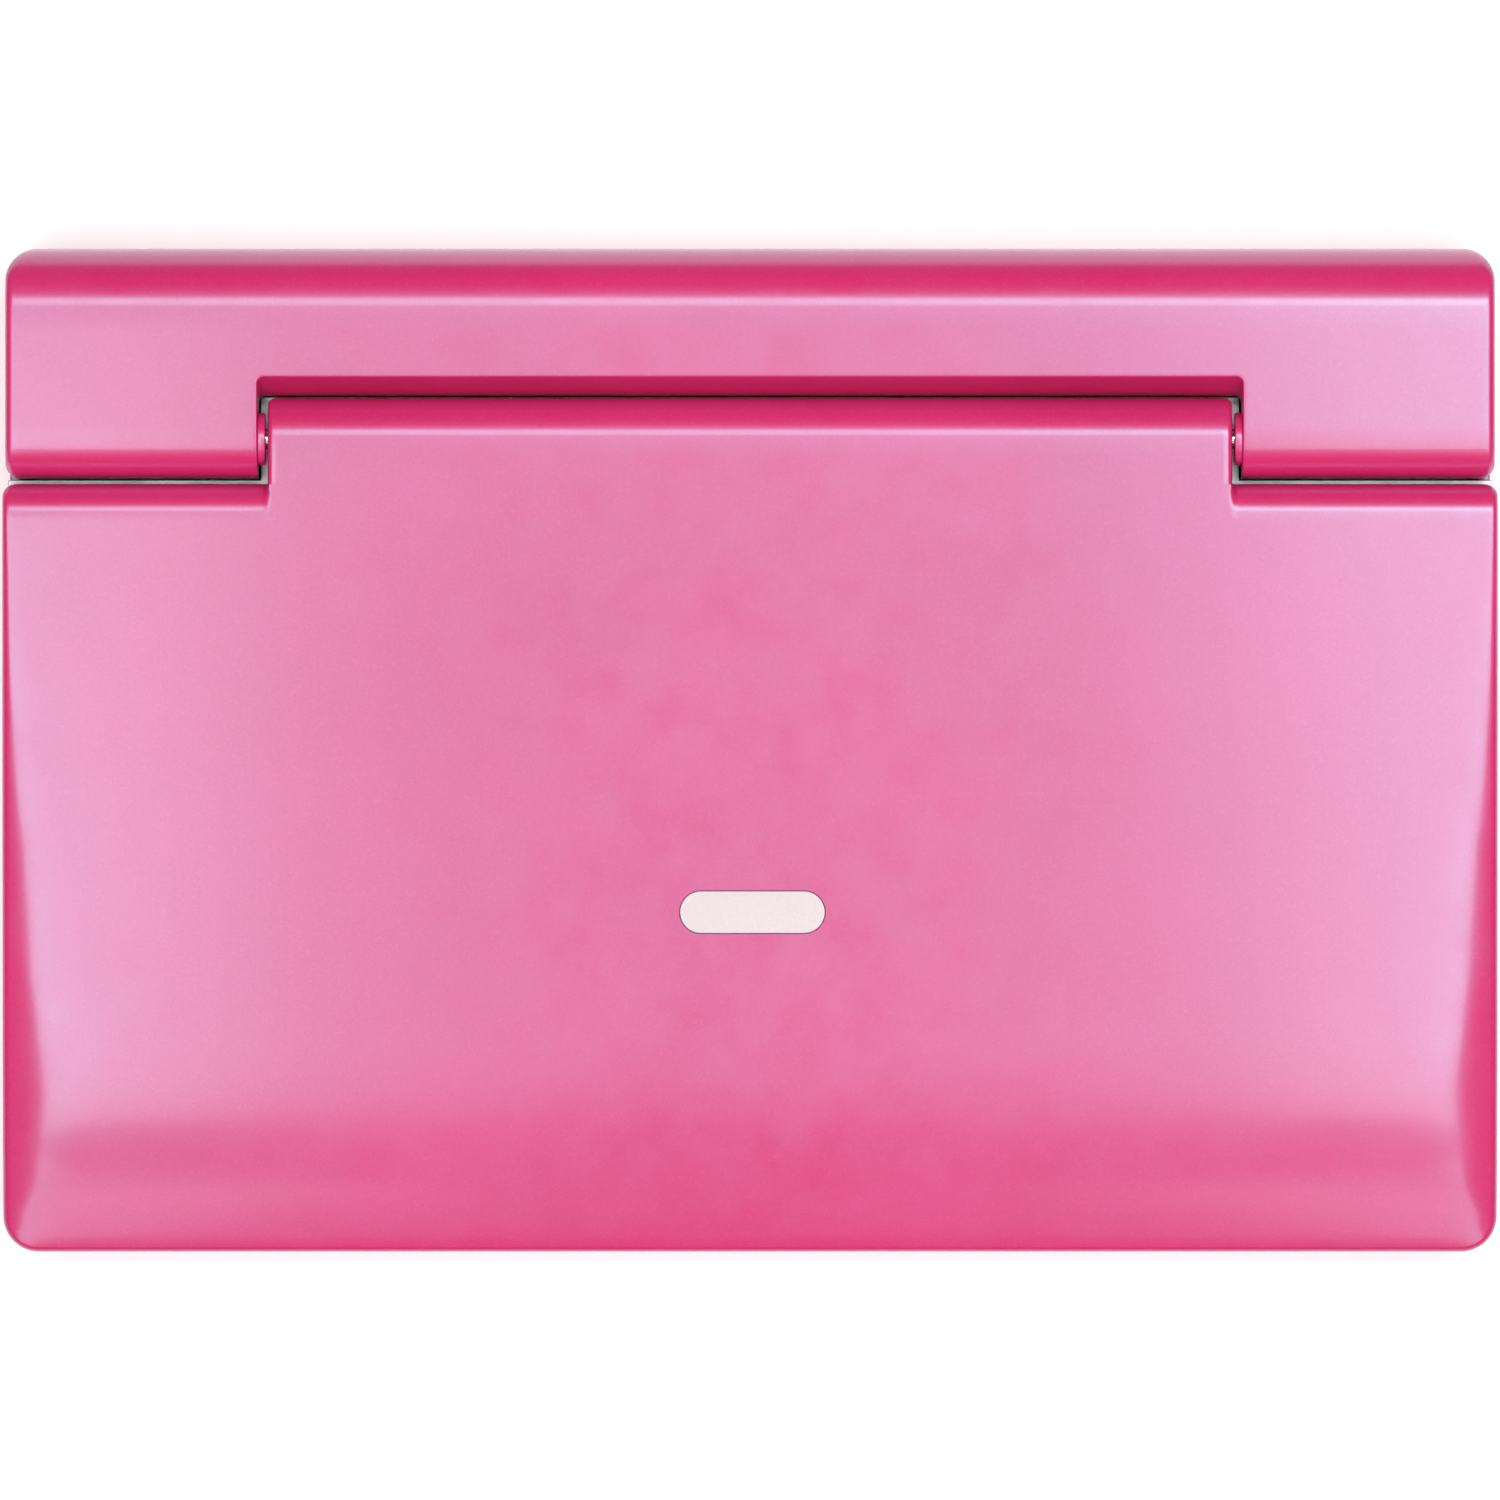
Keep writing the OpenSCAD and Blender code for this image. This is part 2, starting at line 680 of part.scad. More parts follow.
module base_hinge_brackets() {
    x0 = notch_x + 3.6;
    z0 = deck_z + 2;
    color([0.55, 0.56, 0.58]) both_sides() difference() {
        union() {
            rod_x(x0, x0 + 2, axis_y, axis_z, 2.8);
            box(x0, x0 + 2, axis_y - 2.5, axis_y + 2.5, z0, axis_z);
            box(x0, x0 + 13, axis_y - 4, axis_y + 6, z0, z0 + 1.6);
            post(hinge_post_at[0], hinge_post_at[1], seam_z, z0 + 0.1, 3.6);
        }
        rod_x(x0 - 1, x0 + 3, axis_y, axis_z, shaft_r + 0.02);
        post(hinge_post_at[0], hinge_post_at[1], seam_z - 1, z0 + 3, 1.2);
    }
}

module speakers() {
    color([0.10, 0.10, 0.11]) both_sides() translate([speaker_x, speaker_y, 0]) {
        difference() {
            post(0, 0, seam_z + 2.2, ledge_z - 0.1, 14.3);
            translate([0, 0, seam_z + 3.4]) cylinder(h = 5, r1 = 5, r2 = 12.5);
        }
        post(0, 0, seam_z - 2.4, seam_z + 2.2, 8);
    }
}

// Perforated metal discs over the speakers
module speaker_grilles() {
    color([0.55, 0.56, 0.58]) both_sides() translate([speaker_x, speaker_y, 0])
        along_z(deck_z - 0.75, deck_z) difference() {
            circle(r = 15);
            for (ring = [0:4]) for (i = [0:max(ring * 6 - 1, 0)])
                rotate(ring == 0 ? 0 : i * 60 / ring) translate([ring * 2.7, 0]) circle(r = 0.8);
        }
}

// Soft mats whose domes lift the keys
module keypad_mats() {
    color([0.25, 0.25, 0.26]) {
        both_sides() box(77, 115, panel_y - 19, panel_y + 19, key_z0 - 2.4, key_z0 - 0.95);
    }
}

module key_boards() {
    color([0.07, 0.36, 0.20]) {
        both_sides() box(76, 116, panel_y - 20, panel_y + 20, key_z0 - 4, key_z0 - 2.4);
        box(86, 106, panel_y + 20, panel_y + 26, key_z0 - 4, key_z0 - 2.4);
    }
}

module ir_window() {
    color([0.12, 0.02, 0.04]) along_y(base_front + 0.1, base_front + 2.4)
        translate([panel_x, side_z]) pill(12.7, 4.7);
}

module status_lights() {
    color([0.75, 0.90, 0.80]) for (i = [-1:1])
        post(panel_x + i * 7, -11, key_z0 - 2.4, deck_z + 0.1, 1.05);
}

// ---------------------------------------------------------------- disc drive

module loader_plate() {
    color([0.70, 0.71, 0.73]) difference() {
        union() {
            box(-28, 80, spindle_y - 34.5, spindle_y + 34.5, plate_z, plate_z + 1.2);
            for (x = [10, 76.5], span = [[-20.5, -14.5], [14.5, 27.5]])
                box(x, x + 1.5, spindle_y + span[0], spindle_y + span[1], rail_z - 2.6, plate_z);
        }
        post(0, spindle_y, 0, plate_z + 2, 5.4);
        box(13, 74, spindle_y - 13, spindle_y + 13, plate_z - 1, plate_z + 2);
        for (s = [-1, 1]) rod_x(8, 80, spindle_y + s * rail_dy, rail_z, 1.52);
        rod_x(8, 80, spindle_y + screw_dy, rail_z, 1.25);
        for (p = loader_posts_at) post(p[0], spindle_y + p[1], 0, plate_z + 2, 1.6);
    }
}

module loader_dampers() {
    color([0.15, 0.15, 0.15]) for (p = loader_posts_at) difference() {
        post(p[0], spindle_y + p[1], plate_z - 1.55, plate_z - 0.05, 3.6);
        post(p[0], spindle_y + p[1], plate_z - 2, plate_z + 1, 1.6);
    }
}

module sled_rails() {
    color([0.80, 0.81, 0.83]) for (s = [-1, 1])
        rod_x(9.5, 78.5, spindle_y + s * rail_dy, rail_z, 1.5);
}

// The flat motor that turns the disc, and the small one that turns the lead screw
module drive_motors() {
    color([0.65, 0.66, 0.68]) {
        post(0, spindle_y, floor_z + 1.4, plate_z - 0.1, 9.5);
        post(0, spindle_y, plate_z - 0.1, well_z + 3.4, 1.5);
        rod_x(-10, 9, spindle_y + screw_dy, rail_z, 2.7);
    }
}

// Thread not cut; the sled's follower rides on it
module lead_screw() {
    color([0.75, 0.70, 0.55]) rod_x(9.1, 78, spindle_y + screw_dy, rail_z, 1.2);
}

module pickup_sled() {
    x = lens_x;
    color([0.09, 0.09, 0.10]) difference() {
        union() {
            box(x - 9, x + 9, spindle_y - 20.4, spindle_y + 20.4, rail_z - 2.2, rail_z + 2.4);
            box(x - 8, x + 8, spindle_y - 11, spindle_y + 11, rail_z + 2.4, well_z - 2);
            box(x - 4, x + 4, spindle_y + 20, spindle_y + 27, rail_z - 2, rail_z + 2);
        }
        for (s = [-1, 1])
            rod_x(x - 12, x + 12, spindle_y + s * rail_dy, rail_z, 1.56);
        rod_x(x - 12, x + 12, spindle_y + screw_dy, rail_z, 1.26);
    }
}

module pickup_lens() {
    color([0.35, 0.45, 0.65]) {
        post(lens_x, spindle_y, well_z - 2, well_z - 1, 3.6);
        post(lens_x, spindle_y, well_z - 1, well_z - 0.4, 2.4);
    }
}

module turntable() {
    color([0.06, 0.06, 0.07]) difference() {
        union() {
            post(0, spindle_y, plate_z + 1.6, well_z + 0.3, 4.6);
            post(0, spindle_y, well_z + 0.3, well_z + 2, 16.5);
            post(0, spindle_y, well_z + 2, well_z + 4.1, 7.35);
            for (a = [0:60:300]) translate([0, spindle_y, 0]) rotate(a)
                translate([6.9, 0, well_z + 3.1]) sphere(r = 0.75);
        }
        post(0, spindle_y, 0, well_z + 3.5, 1.55);
    }
}

// Pins that the disc door turns on
module door_hinge_pins() {
    color([0.75, 0.76, 0.78]) both_sides()
        rod_x(door_half_w - 3, door_half_w + 1.9, door_axis_y, door_axis_z, 0.9);
}

module display_cable_base() {
    x = -104;
    color([0.10, 0.10, 0.10]) {
        rod_x(x, -shaft_x0, axis_y, axis_z, 0.9);
        translate([x, axis_y, axis_z]) sphere(r = 0.9);
        post(x, axis_y, floor_z + 6, axis_z, 0.9);
        box(x - 4, x + 4, axis_y - 2, axis_y + 2, floor_z + 4, floor_z + 6);
    }
}

// ---------------------------------------------------------------- moving controls

module disc_door() {
    color([0.80, 0.80, 0.82]) difference() {
        union() {
            box(-door_half_w, door_half_w, door_front, door_axis_y, ledge_z + 0.2, deck_z);
            // Round rear edge, with a whole knuckle at each end only, clear of the disc
            intersection() {
                rod_x(-door_half_w, door_half_w, door_axis_y, door_axis_z, door_barrel_r);
                box(-door_half_w, door_half_w, door_axis_y, door_axis_y + 3, ledge_z + 0.2, deck_z);
            }
            both_sides() rod_x(door_half_w - door_knuckle, door_half_w, door_axis_y, door_axis_z,
                               door_barrel_r);
            // Catch lug
            box(60, 66, open_y - 3, open_y + 3, ledge_z - 2.6, ledge_z + 0.3);
        }
        both_sides() rod_x(door_half_w - 3.2, door_half_w + 1, door_axis_y, door_axis_z, 0.95);
        // Finger scoop in the front edge
        translate([40, door_front, deck_z + 6.8]) sphere(r = 8);
    }
}

// Slides away from the door to free its catch
module open_button() {
    color([0.86, 0.22, 0.48]) {
        along_z(ledge_z - 0.2, key_top) translate([open_x, open_y]) pill(15.6, 6.8);
        box(door_half_w + 0.2, open_x + 10, open_y - 2.6, open_y + 2.6, ledge_z - 1.6, ledge_z - 0.2);
    }
}

// One quarter of the four-way ring; turn is the angle of its middle.
module ring_key(turn) {
    color([0.70, 0.71, 0.73]) translate([panel_x, panel_y, 0]) rotate(turn) intersection() {
        difference() {
            union() {
                post(0, 0, key_z0, key_top, ring_r);
                post(0, 0, key_z0, ledge_z - 0.3, ring_r + 1.4);
            }
            post(0, 0, key_z0 - 1, key_top + 1, 7.4);
        }
        along_z(key_z0 - 1, key_top + 1) polygon([[0.65, 0], [30, 29.35], [30, -29.35]]);
    }
}

module key_ok() {
    color([0.86, 0.22, 0.48]) {
        post(panel_x, panel_y, key_z0, key_top, 6.6);
        post(panel_x, panel_y, key_z0, key_z0 + 0.6, 7);
    }
}

module pill_key(i) {
    p = pill_keys_at[i];
    color([0.70, 0.71, 0.73]) translate([-panel_x + p[0], panel_y + p[1], 0]) {
        along_z(key_z0, key_top) pill(14.9, 6.9);
        along_z(key_z0, ledge_z - 0.3) pill(17, 8.8);
    }
}

module power_slider() {
    x1 = base_w / 2;
    color([0.70, 0.71, 0.73]) {
        along_x(x1 - 4, x1 + 0.3) translate([slider_y - 2, side_z]) pill(8.4, 2.8);
        box(x1 - 5.4, x1 - 2.3, slider_y - 8, slider_y + 4, side_z - 2.6, side_z + 2.6);
    }
}

// Thumb wheel that shows through a slot in the side
module volume_wheel() {
    color([0.12, 0.12, 0.13]) difference() {
        post(wheel_x, wheel_y, side_z - 1.3, side_z + 1.3, 8);
        for (a = [0:15:345]) translate([wheel_x, wheel_y, side_z - 2]) rotate(a)
            translate([8.25, 0, 0]) cylinder(h = 4, r = 0.5);
        post(wheel_x, wheel_y, side_z - 2, side_z + 2, 1.5);
    }
}

lid_cover();
lid_bezel();
screen_surround();
lcd_glass();
lcd_module();
badge();
lid_hinge_arms();
lid_bumpers();
lid_board();
lid_screws();
display_cable_lid();
bright_key(-1);  // bright_key_down
bright_key(1);  // bright_key_up
base_shell();
base_deck();
rear_housing();
battery_cover();
battery_cells();
rubber_feet();
case_screws();
main_board();
board_chips();
headphone_jacks();
av_jack();
dc_jack();
hinge_shafts();
base_hinge_brackets();
speakers();
speaker_grilles();
keypad_mats();
key_boards();
ir_window();
status_lights();
disc_tray();
well_floor();
loader_plate();
loader_dampers();
sled_rails();
drive_motors();
door_hinge_pins();
display_cable_base();
disc_door();
open_button();
ring_key(90);  // key_up
ring_key(270);  // key_down
ring_key(180);  // key_left
ring_key(0);  // key_right
key_ok();
pill_key(0);  // key_play
pill_key(1);  // key_stop
pill_key(2);  // key_prev
pill_key(3);  // key_next
pill_key(4);  // key_menu
pill_key(5);  // key_setup
power_slider();
volume_wheel();
turntable();
lead_screw();
pickup_sled();
pickup_lens();
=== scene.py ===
# %% [markdown]
# # A clamshell disc player with a pearl pink lid
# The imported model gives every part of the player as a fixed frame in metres. This file gives each part
# its finish, and makes finer pieces for the parts that the eye rests on: the lacquered lid, the rear
# block, and the mouldings whose edges a mould leaves a little round.

# %% Load the fixed frame
import bpy
import bmesh
import json
from math import radians, sin, cos, sqrt, hypot
from mathutils import Vector, Matrix


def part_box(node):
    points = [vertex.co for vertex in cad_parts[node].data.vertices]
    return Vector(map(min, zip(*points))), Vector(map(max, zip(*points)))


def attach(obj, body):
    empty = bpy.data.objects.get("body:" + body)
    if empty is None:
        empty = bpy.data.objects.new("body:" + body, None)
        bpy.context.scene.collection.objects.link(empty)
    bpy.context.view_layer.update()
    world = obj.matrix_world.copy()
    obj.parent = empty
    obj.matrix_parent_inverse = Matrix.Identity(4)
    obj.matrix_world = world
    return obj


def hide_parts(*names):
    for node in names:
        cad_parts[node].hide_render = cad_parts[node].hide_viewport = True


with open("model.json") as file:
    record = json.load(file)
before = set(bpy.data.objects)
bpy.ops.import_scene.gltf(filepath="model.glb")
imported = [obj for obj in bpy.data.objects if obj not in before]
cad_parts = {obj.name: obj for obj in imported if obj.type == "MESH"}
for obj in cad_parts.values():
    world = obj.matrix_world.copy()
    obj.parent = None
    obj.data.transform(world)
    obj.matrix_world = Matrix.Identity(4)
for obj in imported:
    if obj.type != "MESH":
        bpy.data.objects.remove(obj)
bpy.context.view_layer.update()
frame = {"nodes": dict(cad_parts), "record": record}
MM = 0.001
scene = bpy.context.scene
nodes = frame["nodes"]
bodies_of = {n: b for b, ns in frame["record"]["behaviour"]["bodies"].items() for n in ns}
slot_of = {s["node"]: s["material_slot"] for s in frame["record"]["subparts"]}

# %% [markdown]
# ## Stage, camera and lamps
# A lacquered lid is mostly reflections, so the lamps are placed for what the lid mirrors. The camera
# looks straight down through a long lens. Three big soft boxes stand just outside what the flat top
# mirrors, to the left, the right and behind. Two smaller ones in front light the long roll of the front
# edge, and a wide lamp that gives no mirror image lights the colour itself.

# %% Floor and camera
def link(name, mesh):
    thing = bpy.data.objects.new(name, mesh)
    scene.collection.objects.link(thing)
    return thing


def mesh_from(bm, name):
    mesh = bpy.data.meshes.new(name)
    bm.to_mesh(mesh)
    bm.free()
    return mesh


bm = bmesh.new()
bmesh.ops.create_grid(bm, x_segments=2, y_segments=2, size=1.5)
floor = link("table_top", mesh_from(bm, "table_top"))

lid_low, lid_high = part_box("lid_cover")
LENS = 500.0
SENSOR = 36.0
SHOWN_WIDTH = 0.2506
camera_data = bpy.data.cameras.new("camera")
camera_data.lens = LENS
camera_data.sensor_width = SENSOR
camera_data.clip_end = 20.0
camera = bpy.data.objects.new("camera", camera_data)
scene.collection.objects.link(camera)
camera.location = (0.0, 0.0, lid_high.z + SHOWN_WIDTH * LENS / SENSOR)
scene.camera = camera
print("camera height", round(camera.location.z, 4))

# %% Lamps
world = bpy.data.worlds.new("studio")
scene.world = world
world.use_nodes = True
world.node_tree.nodes["Background"].inputs["Color"].default_value = (1.0, 0.97, 0.985, 1.0)
world.node_tree.nodes["Background"].inputs["Strength"].default_value = 0.06
scene.view_settings.view_transform = "Standard"


def soft_box(name, place, aim, size, watts, mirrored=True):
    lamp = bpy.data.lights.new(name, "AREA")
    lamp.shape = "RECTANGLE"
    lamp.size, lamp.size_y = size
    lamp.energy = watts
    thing = bpy.data.objects.new(name, lamp)
    scene.collection.objects.link(thing)
    thing.location = place
    thing.rotation_euler = (Vector(aim) - Vector(place)).to_track_quat("-Z", "Y").to_euler()
    thing.visible_camera = False
    thing.visible_glossy = mirrored
    return thing


soft_box("wide_lamp", (0.0, 0.0, 1.084), (0.0, 0.0, 0.0), (1.07, 1.07), 5.3, mirrored=False)
soft_box("left_box", (-0.258, -0.094, 0.783), (-0.258, -0.094, 0.0), (0.30, 0.375), 1.95)
soft_box("right_box", (0.258, 0.013, 0.783), (0.258, 0.013, 0.0), (0.30, 0.563), 2.85)
soft_box("rear_box", (0.033, 0.251, 0.789), (0.033, 0.251, 0.0), (0.60, 0.168), 2.0)
soft_box("front_left_box", (-0.281, -0.496, 0.649), (-0.05, -0.05, 0.03), (0.335, 0.30), 0.98)
soft_box("front_right_box", (0.281, -0.496, 0.649), (0.05, -0.05, 0.03), (0.335, 0.30), 0.90)

# %% [markdown]
# ## Finishes
# Each finish starts from the same few building blocks: a noise read from the object's own coordinates,
# a colour ramp for small changes of tone, a range for the gloss, and a bump for the grain. The scales
# are in features per metre, so 2500 gives specks of 0.4 mm. Values that are the same all over are set
# straight on the shader.

# %% Building blocks of a finish
def new_finish(name, **settings):
    """A material with one Principled shader, whose plain values are given by name."""
    mat = bpy.data.materials.new(name)
    mat.use_nodes = True
    shader = mat.node_tree.nodes["Principled BSDF"]
    for key, value in settings.items():
        shader.inputs[key.replace("_", " ")].default_value = value
    return mat


def node(mat, kind, **settings):
    made = mat.node_tree.nodes.new(kind)
    for key, value in settings.items():
        setattr(made, key, value)
    return made


def wire(mat, out, into):
    mat.node_tree.links.new(out, into)


def shader_of(mat):
    return mat.node_tree.nodes["Principled BSDF"]


def place_of(mat, stretch=(1.0, 1.0, 1.0), turn=(0.0, 0.0, 0.0)):
    """The object's own coordinates, stretched or turned for a grain that runs one way."""
    coords = node(mat, "ShaderNodeTexCoord")
    mapping = node(mat, "ShaderNodeMapping")
    mapping.inputs["Scale"].default_value = stretch
    mapping.inputs["Rotation"].default_value = turn
    wire(mat, coords.outputs["Object"], mapping.inputs["Vector"])
    return mapping.outputs["Vector"]


def noise(mat, where, scale, detail=2.0, roughness=0.5):
    made = node(mat, "ShaderNodeTexNoise")
    made.inputs["Scale"].default_value = scale
    made.inputs["Detail"].default_value = detail
    made.inputs["Roughness"].default_value = roughness
    wire(mat, where, made.inputs["Vector"])
    return made.outputs["Fac"]


def ramp(mat, factor, low, high, start=0.3, end=0.7):
    """A colour that goes from low to high as the factor goes from start to end."""
    made = node(mat, "ShaderNodeValToRGB")
    made.color_ramp.elements[0].position = start
    made.color_ramp.elements[0].color = (*low, 1.0)
    made.color_ramp.elements[1].position = end
    made.color_ramp.elements[1].color = (*high, 1.0)
    wire(mat, factor, made.inputs["Fac"])
    return made.outputs["Color"]


def span(mat, factor, low, high, start=0.3, end=0.7):
    made = node(mat, "ShaderNodeMapRange")
    made.inputs["From Min"].default_value = start
    made.inputs["From Max"].default_value = end
    made.inputs["To Min"].default_value = low
    made.inputs["To Max"].default_value = high
    wire(mat, factor, made.inputs["Value"])
    return made.outputs["Result"]


def mixed(mat, factor, first, second, blend="MIX"):
    made = node(mat, "ShaderNodeMix", data_type="RGBA", blend_type=blend)
    wire(mat, factor, made.inputs[0])
    for given, socket in ((first, made.inputs[6]), (second, made.inputs[7])):
        if isinstance(given, tuple):
            socket.default_value = (*given, 1.0)
        else:
            wire(mat, given, socket)
    return made.outputs[2]


def relief(mat, height, depth, into="Normal"):
    """Raises the surface by up to depth (metres) where the height is 1."""
    made = node(mat, "ShaderNodeBump")
    made.inputs["Strength"].default_value = 1.0
    made.inputs["Distance"].default_value = depth
    wire(mat, height, made.inputs["Height"])
    wire(mat, made.outputs["Normal"], shader_of(mat).inputs[into])
    return made


def moulded(name, low, high, gloss, grain=2600.0, depth=0.000004, **settings):
    """Moulded or painted plastic: faint clouds in the tone, uneven gloss, and a fine grain."""
    mat = new_finish(name, **settings)
    where = place_of(mat)
    cloud = noise(mat, where, 38.0, 4.0)
    fine = noise(mat, where, grain, 2.0)
    tone = ramp(mat, cloud, low, high)
    speck = ramp(mat, fine, tuple(c * 0.90 for c in high), tuple(min(1.0, c * 1.06) for c in high))
    wire(mat, mixed(mat, cloud, tone, speck), shader_of(mat).inputs["Base Color"])
    wire(mat, span(mat, noise(mat, where, 150.0, 5.0, 0.6), *gloss), shader_of(mat).inputs["Roughness"])
    relief(mat, fine, depth)
    return mat


def metal(name, low, high, gloss, stretch=(1.0, 1.0, 1.0), grain=1500.0, depth=0.000003, **settings):
    """Sheet or turned metal: brush lines along one direction, stains, and uneven gloss."""
    mat = new_finish(name, Metallic=1.0, **settings)
    lines = noise(mat, place_of(mat, stretch), grain, 3.0, 0.6)
    stains = noise(mat, place_of(mat), 90.0, 4.0)
    tone = ramp(mat, lines, low, high)
    wire(mat, mixed(mat, stains, tone, low), shader_of(mat).inputs["Base Color"])
    wire(mat, span(mat, lines, *gloss), shader_of(mat).inputs["Roughness"])
    relief(mat, lines, depth)
    return mat


print("finish helpers ready")

# %% [markdown]
# ## Pearl pink lacquer
# The shell is pink plastic under a pearl lacquer. The pearl gives soft clouds in the tone and tiny bright
# flakes, and the clear coat over it gives the second, sharper gloss. An orange-peel wave in the coat, a
# few micrometres high, keeps the reflections from looking like a computer's.

# %% Pearl pink
pink = new_finish("pearl_pink", Roughness=0.31, IOR=1.8, Specular_IOR_Level=1.0, Coat_Weight=0.45,
                  Coat_Roughness=0.14, Specular_Tint=(0.01, 0.47, 0.65, 1.0))
where = place_of(pink)
clouds = noise(pink, where, 26.0, 3.0)
flakes = noise(pink, where, 2400.0, 1.0)
base_tone = ramp(pink, clouds, (0.570, 0.016, 0.112), (0.610, 0.021, 0.130))
flake_tone = ramp(pink, flakes, (0.560, 0.014, 0.105), (0.700, 0.040, 0.185))
share = span(pink, noise(pink, where, 900.0, 1.0), 0.10, 0.45)
wire(pink, mixed(pink, share, base_tone, flake_tone), shader_of(pink).inputs["Base Color"])
wire(pink, span(pink, noise(pink, where, 120.0, 4.0, 0.6), 0.28, 0.34), shader_of(pink).inputs["Roughness"])
relief(pink, flakes, 0.0000012)
relief(pink, noise(pink, where, 210.0, 1.0), 0.000004, into="Coat Normal")

# %% [markdown]
# ## Plastics
# The deck is silver paint on plastic: a satin with metal flakes. The keys are the same but glossier,
# the picture's frame is piano black, and the well is a dark moulding with the spark-eroded grain that
# tool makers use to hide scratches.

# %% Plastics
finishes = {
    "pink_shell": pink,
    "silver_plastic": moulded("silver_paint", (0.47, 0.475, 0.49), (0.55, 0.555, 0.57), (0.30, 0.44),
                              grain=3800.0, depth=0.000003, Metallic=0.55, IOR=1.5),
    "well_grey": moulded("well_moulding", (0.075, 0.076, 0.080), (0.10, 0.10, 0.107), (0.50, 0.68),
                         grain=1700.0, depth=0.000020),
    "black_gloss": moulded("piano_black", (0.008, 0.008, 0.009), (0.016, 0.016, 0.017), (0.05, 0.12),
                           grain=900.0, depth=0.0000004, Coat_Weight=0.6, Coat_Roughness=0.04),
    "badge_white": moulded("pale_inlay", (0.52, 0.44, 0.46), (0.57, 0.49, 0.51), (0.34, 0.46),
                           grain=3000.0, depth=0.000003, Coat_Weight=0.3, Coat_Roughness=0.2),
    "chip_black": moulded("moulded_epoxy", (0.018, 0.018, 0.019), (0.034, 0.034, 0.035), (0.45, 0.62),
                          grain=1900.0, depth=0.000010),
    "jack_black": moulded("socket_black", (0.014, 0.014, 0.015), (0.026, 0.026, 0.028), (0.34, 0.50),
                          grain=2100.0, depth=0.000008),
    "jack_yellow": moulded("socket_yellow", (0.62, 0.40, 0.02), (0.74, 0.50, 0.04), (0.32, 0.46),
                           grain=2100.0, depth=0.000008),
    "dark_red_window": moulded("dark_red_acrylic", (0.045, 0.002, 0.006), (0.085, 0.005, 0.012), (0.06, 0.12),
                               grain=1300.0, depth=0.0000005, Coat_Weight=0.5, Coat_Roughness=0.05),
    "light_guide": moulded("light_guide", (0.52, 0.68, 0.60), (0.68, 0.82, 0.74), (0.16, 0.28),
                           grain=1500.0, depth=0.000002, Subsurface_Weight=0.2),
    "pink_key": moulded("pink_key", (0.60, 0.085, 0.235), (0.68, 0.115, 0.28), (0.22, 0.34),
                        grain=2600.0, depth=0.000002, Coat_Weight=0.5, Coat_Roughness=0.12),
    "silver_key": moulded("silver_key", (0.53, 0.535, 0.55), (0.63, 0.635, 0.65), (0.20, 0.32),
                          grain=3400.0, depth=0.000002, Metallic=0.6, Coat_Weight=0.3, Coat_Roughness=0.15),
    "black_key": moulded("black_key", (0.020, 0.020, 0.022), (0.036, 0.036, 0.038), (0.30, 0.44),
                         grain=2000.0, depth=0.000005),
    "turntable_black": moulded("hub_black", (0.016, 0.016, 0.018), (0.030, 0.030, 0.033), (0.38, 0.60),
                               grain=1500.0, depth=0.000012),
    "speaker_frame": moulded("speaker_black", (0.020, 0.020, 0.022), (0.040, 0.040, 0.043), (0.50, 0.70),
                             grain=1100.0, depth=0.000020),
}
print("plastics:", len(finishes))

# %% [markdown]
# ## Metals
# Pressed parts show the rolling lines of the sheet, ground shafts show fine rings, and screws have a dull
# black skin that rubs through to steel.

# %% Metals
finishes.update({
    "pressed_steel": metal("pressed_steel", (0.38, 0.39, 0.41), (0.54, 0.55, 0.57),
                           (0.26, 0.44), (1, 0.08, 1)),
    "bright_steel": metal("ground_steel", (0.56, 0.57, 0.59), (0.72, 0.73, 0.75),
                          (0.12, 0.24), (1, 0.05, 0.05)),
    "zinc_steel": metal("zinc_sheet", (0.42, 0.43, 0.45), (0.60, 0.61, 0.63),
                        (0.28, 0.46), (0.1, 1, 1), 700.0),
    "screw_steel": metal("black_screw", (0.055, 0.055, 0.06), (0.20, 0.20, 0.21), (0.36, 0.55)),
    "grille_metal": metal("grille_sheet", (0.36, 0.37, 0.39), (0.50, 0.51, 0.53),
                          (0.30, 0.46), (1, 0.1, 1)),
    "brass_screw": metal("turned_brass", (0.55, 0.40, 0.15), (0.72, 0.56, 0.26), (0.18, 0.34), (0.1, 1, 1)),
    "panel_back": metal("plated_frame", (0.36, 0.37, 0.38), (0.50, 0.51, 0.52), (0.24, 0.42), (0.08, 1, 1)),
})
print("with metals:", len(finishes))

# %% [markdown]
# ## Rubber, boards, cells and glass
# Rubber scatters light from a powdery surface, so it has a rough grain and a little sheen. A circuit
# board is a green skin over copper tracks, which a brick pattern lays out in rows. The screen is a dark
# glass with a fine anti-glare grain, and the lens has a blue-violet coating.

# %% Rubber and boards
def rubber(name, low, high, depth=0.000022):
    mat = new_finish(name, Sheen_Weight=0.25, Sheen_Roughness=0.5)
    where = place_of(mat)
    grain = noise(mat, where, 1300.0, 4.0, 0.7)
    wire(mat, ramp(mat, noise(mat, where, 70.0, 3.0), low, high), shader_of(mat).inputs["Base Color"])
    wire(mat, span(mat, grain, 0.62, 0.88), shader_of(mat).inputs["Roughness"])
    relief(mat, grain, depth)
    return mat


finishes["soft_rubber"] = rubber("matt_rubber", (0.020, 0.020, 0.021), (0.040, 0.040, 0.041))
finishes["cable_black"] = rubber("wire_sleeve", (0.012, 0.012, 0.013), (0.026, 0.026, 0.027), 0.000008)

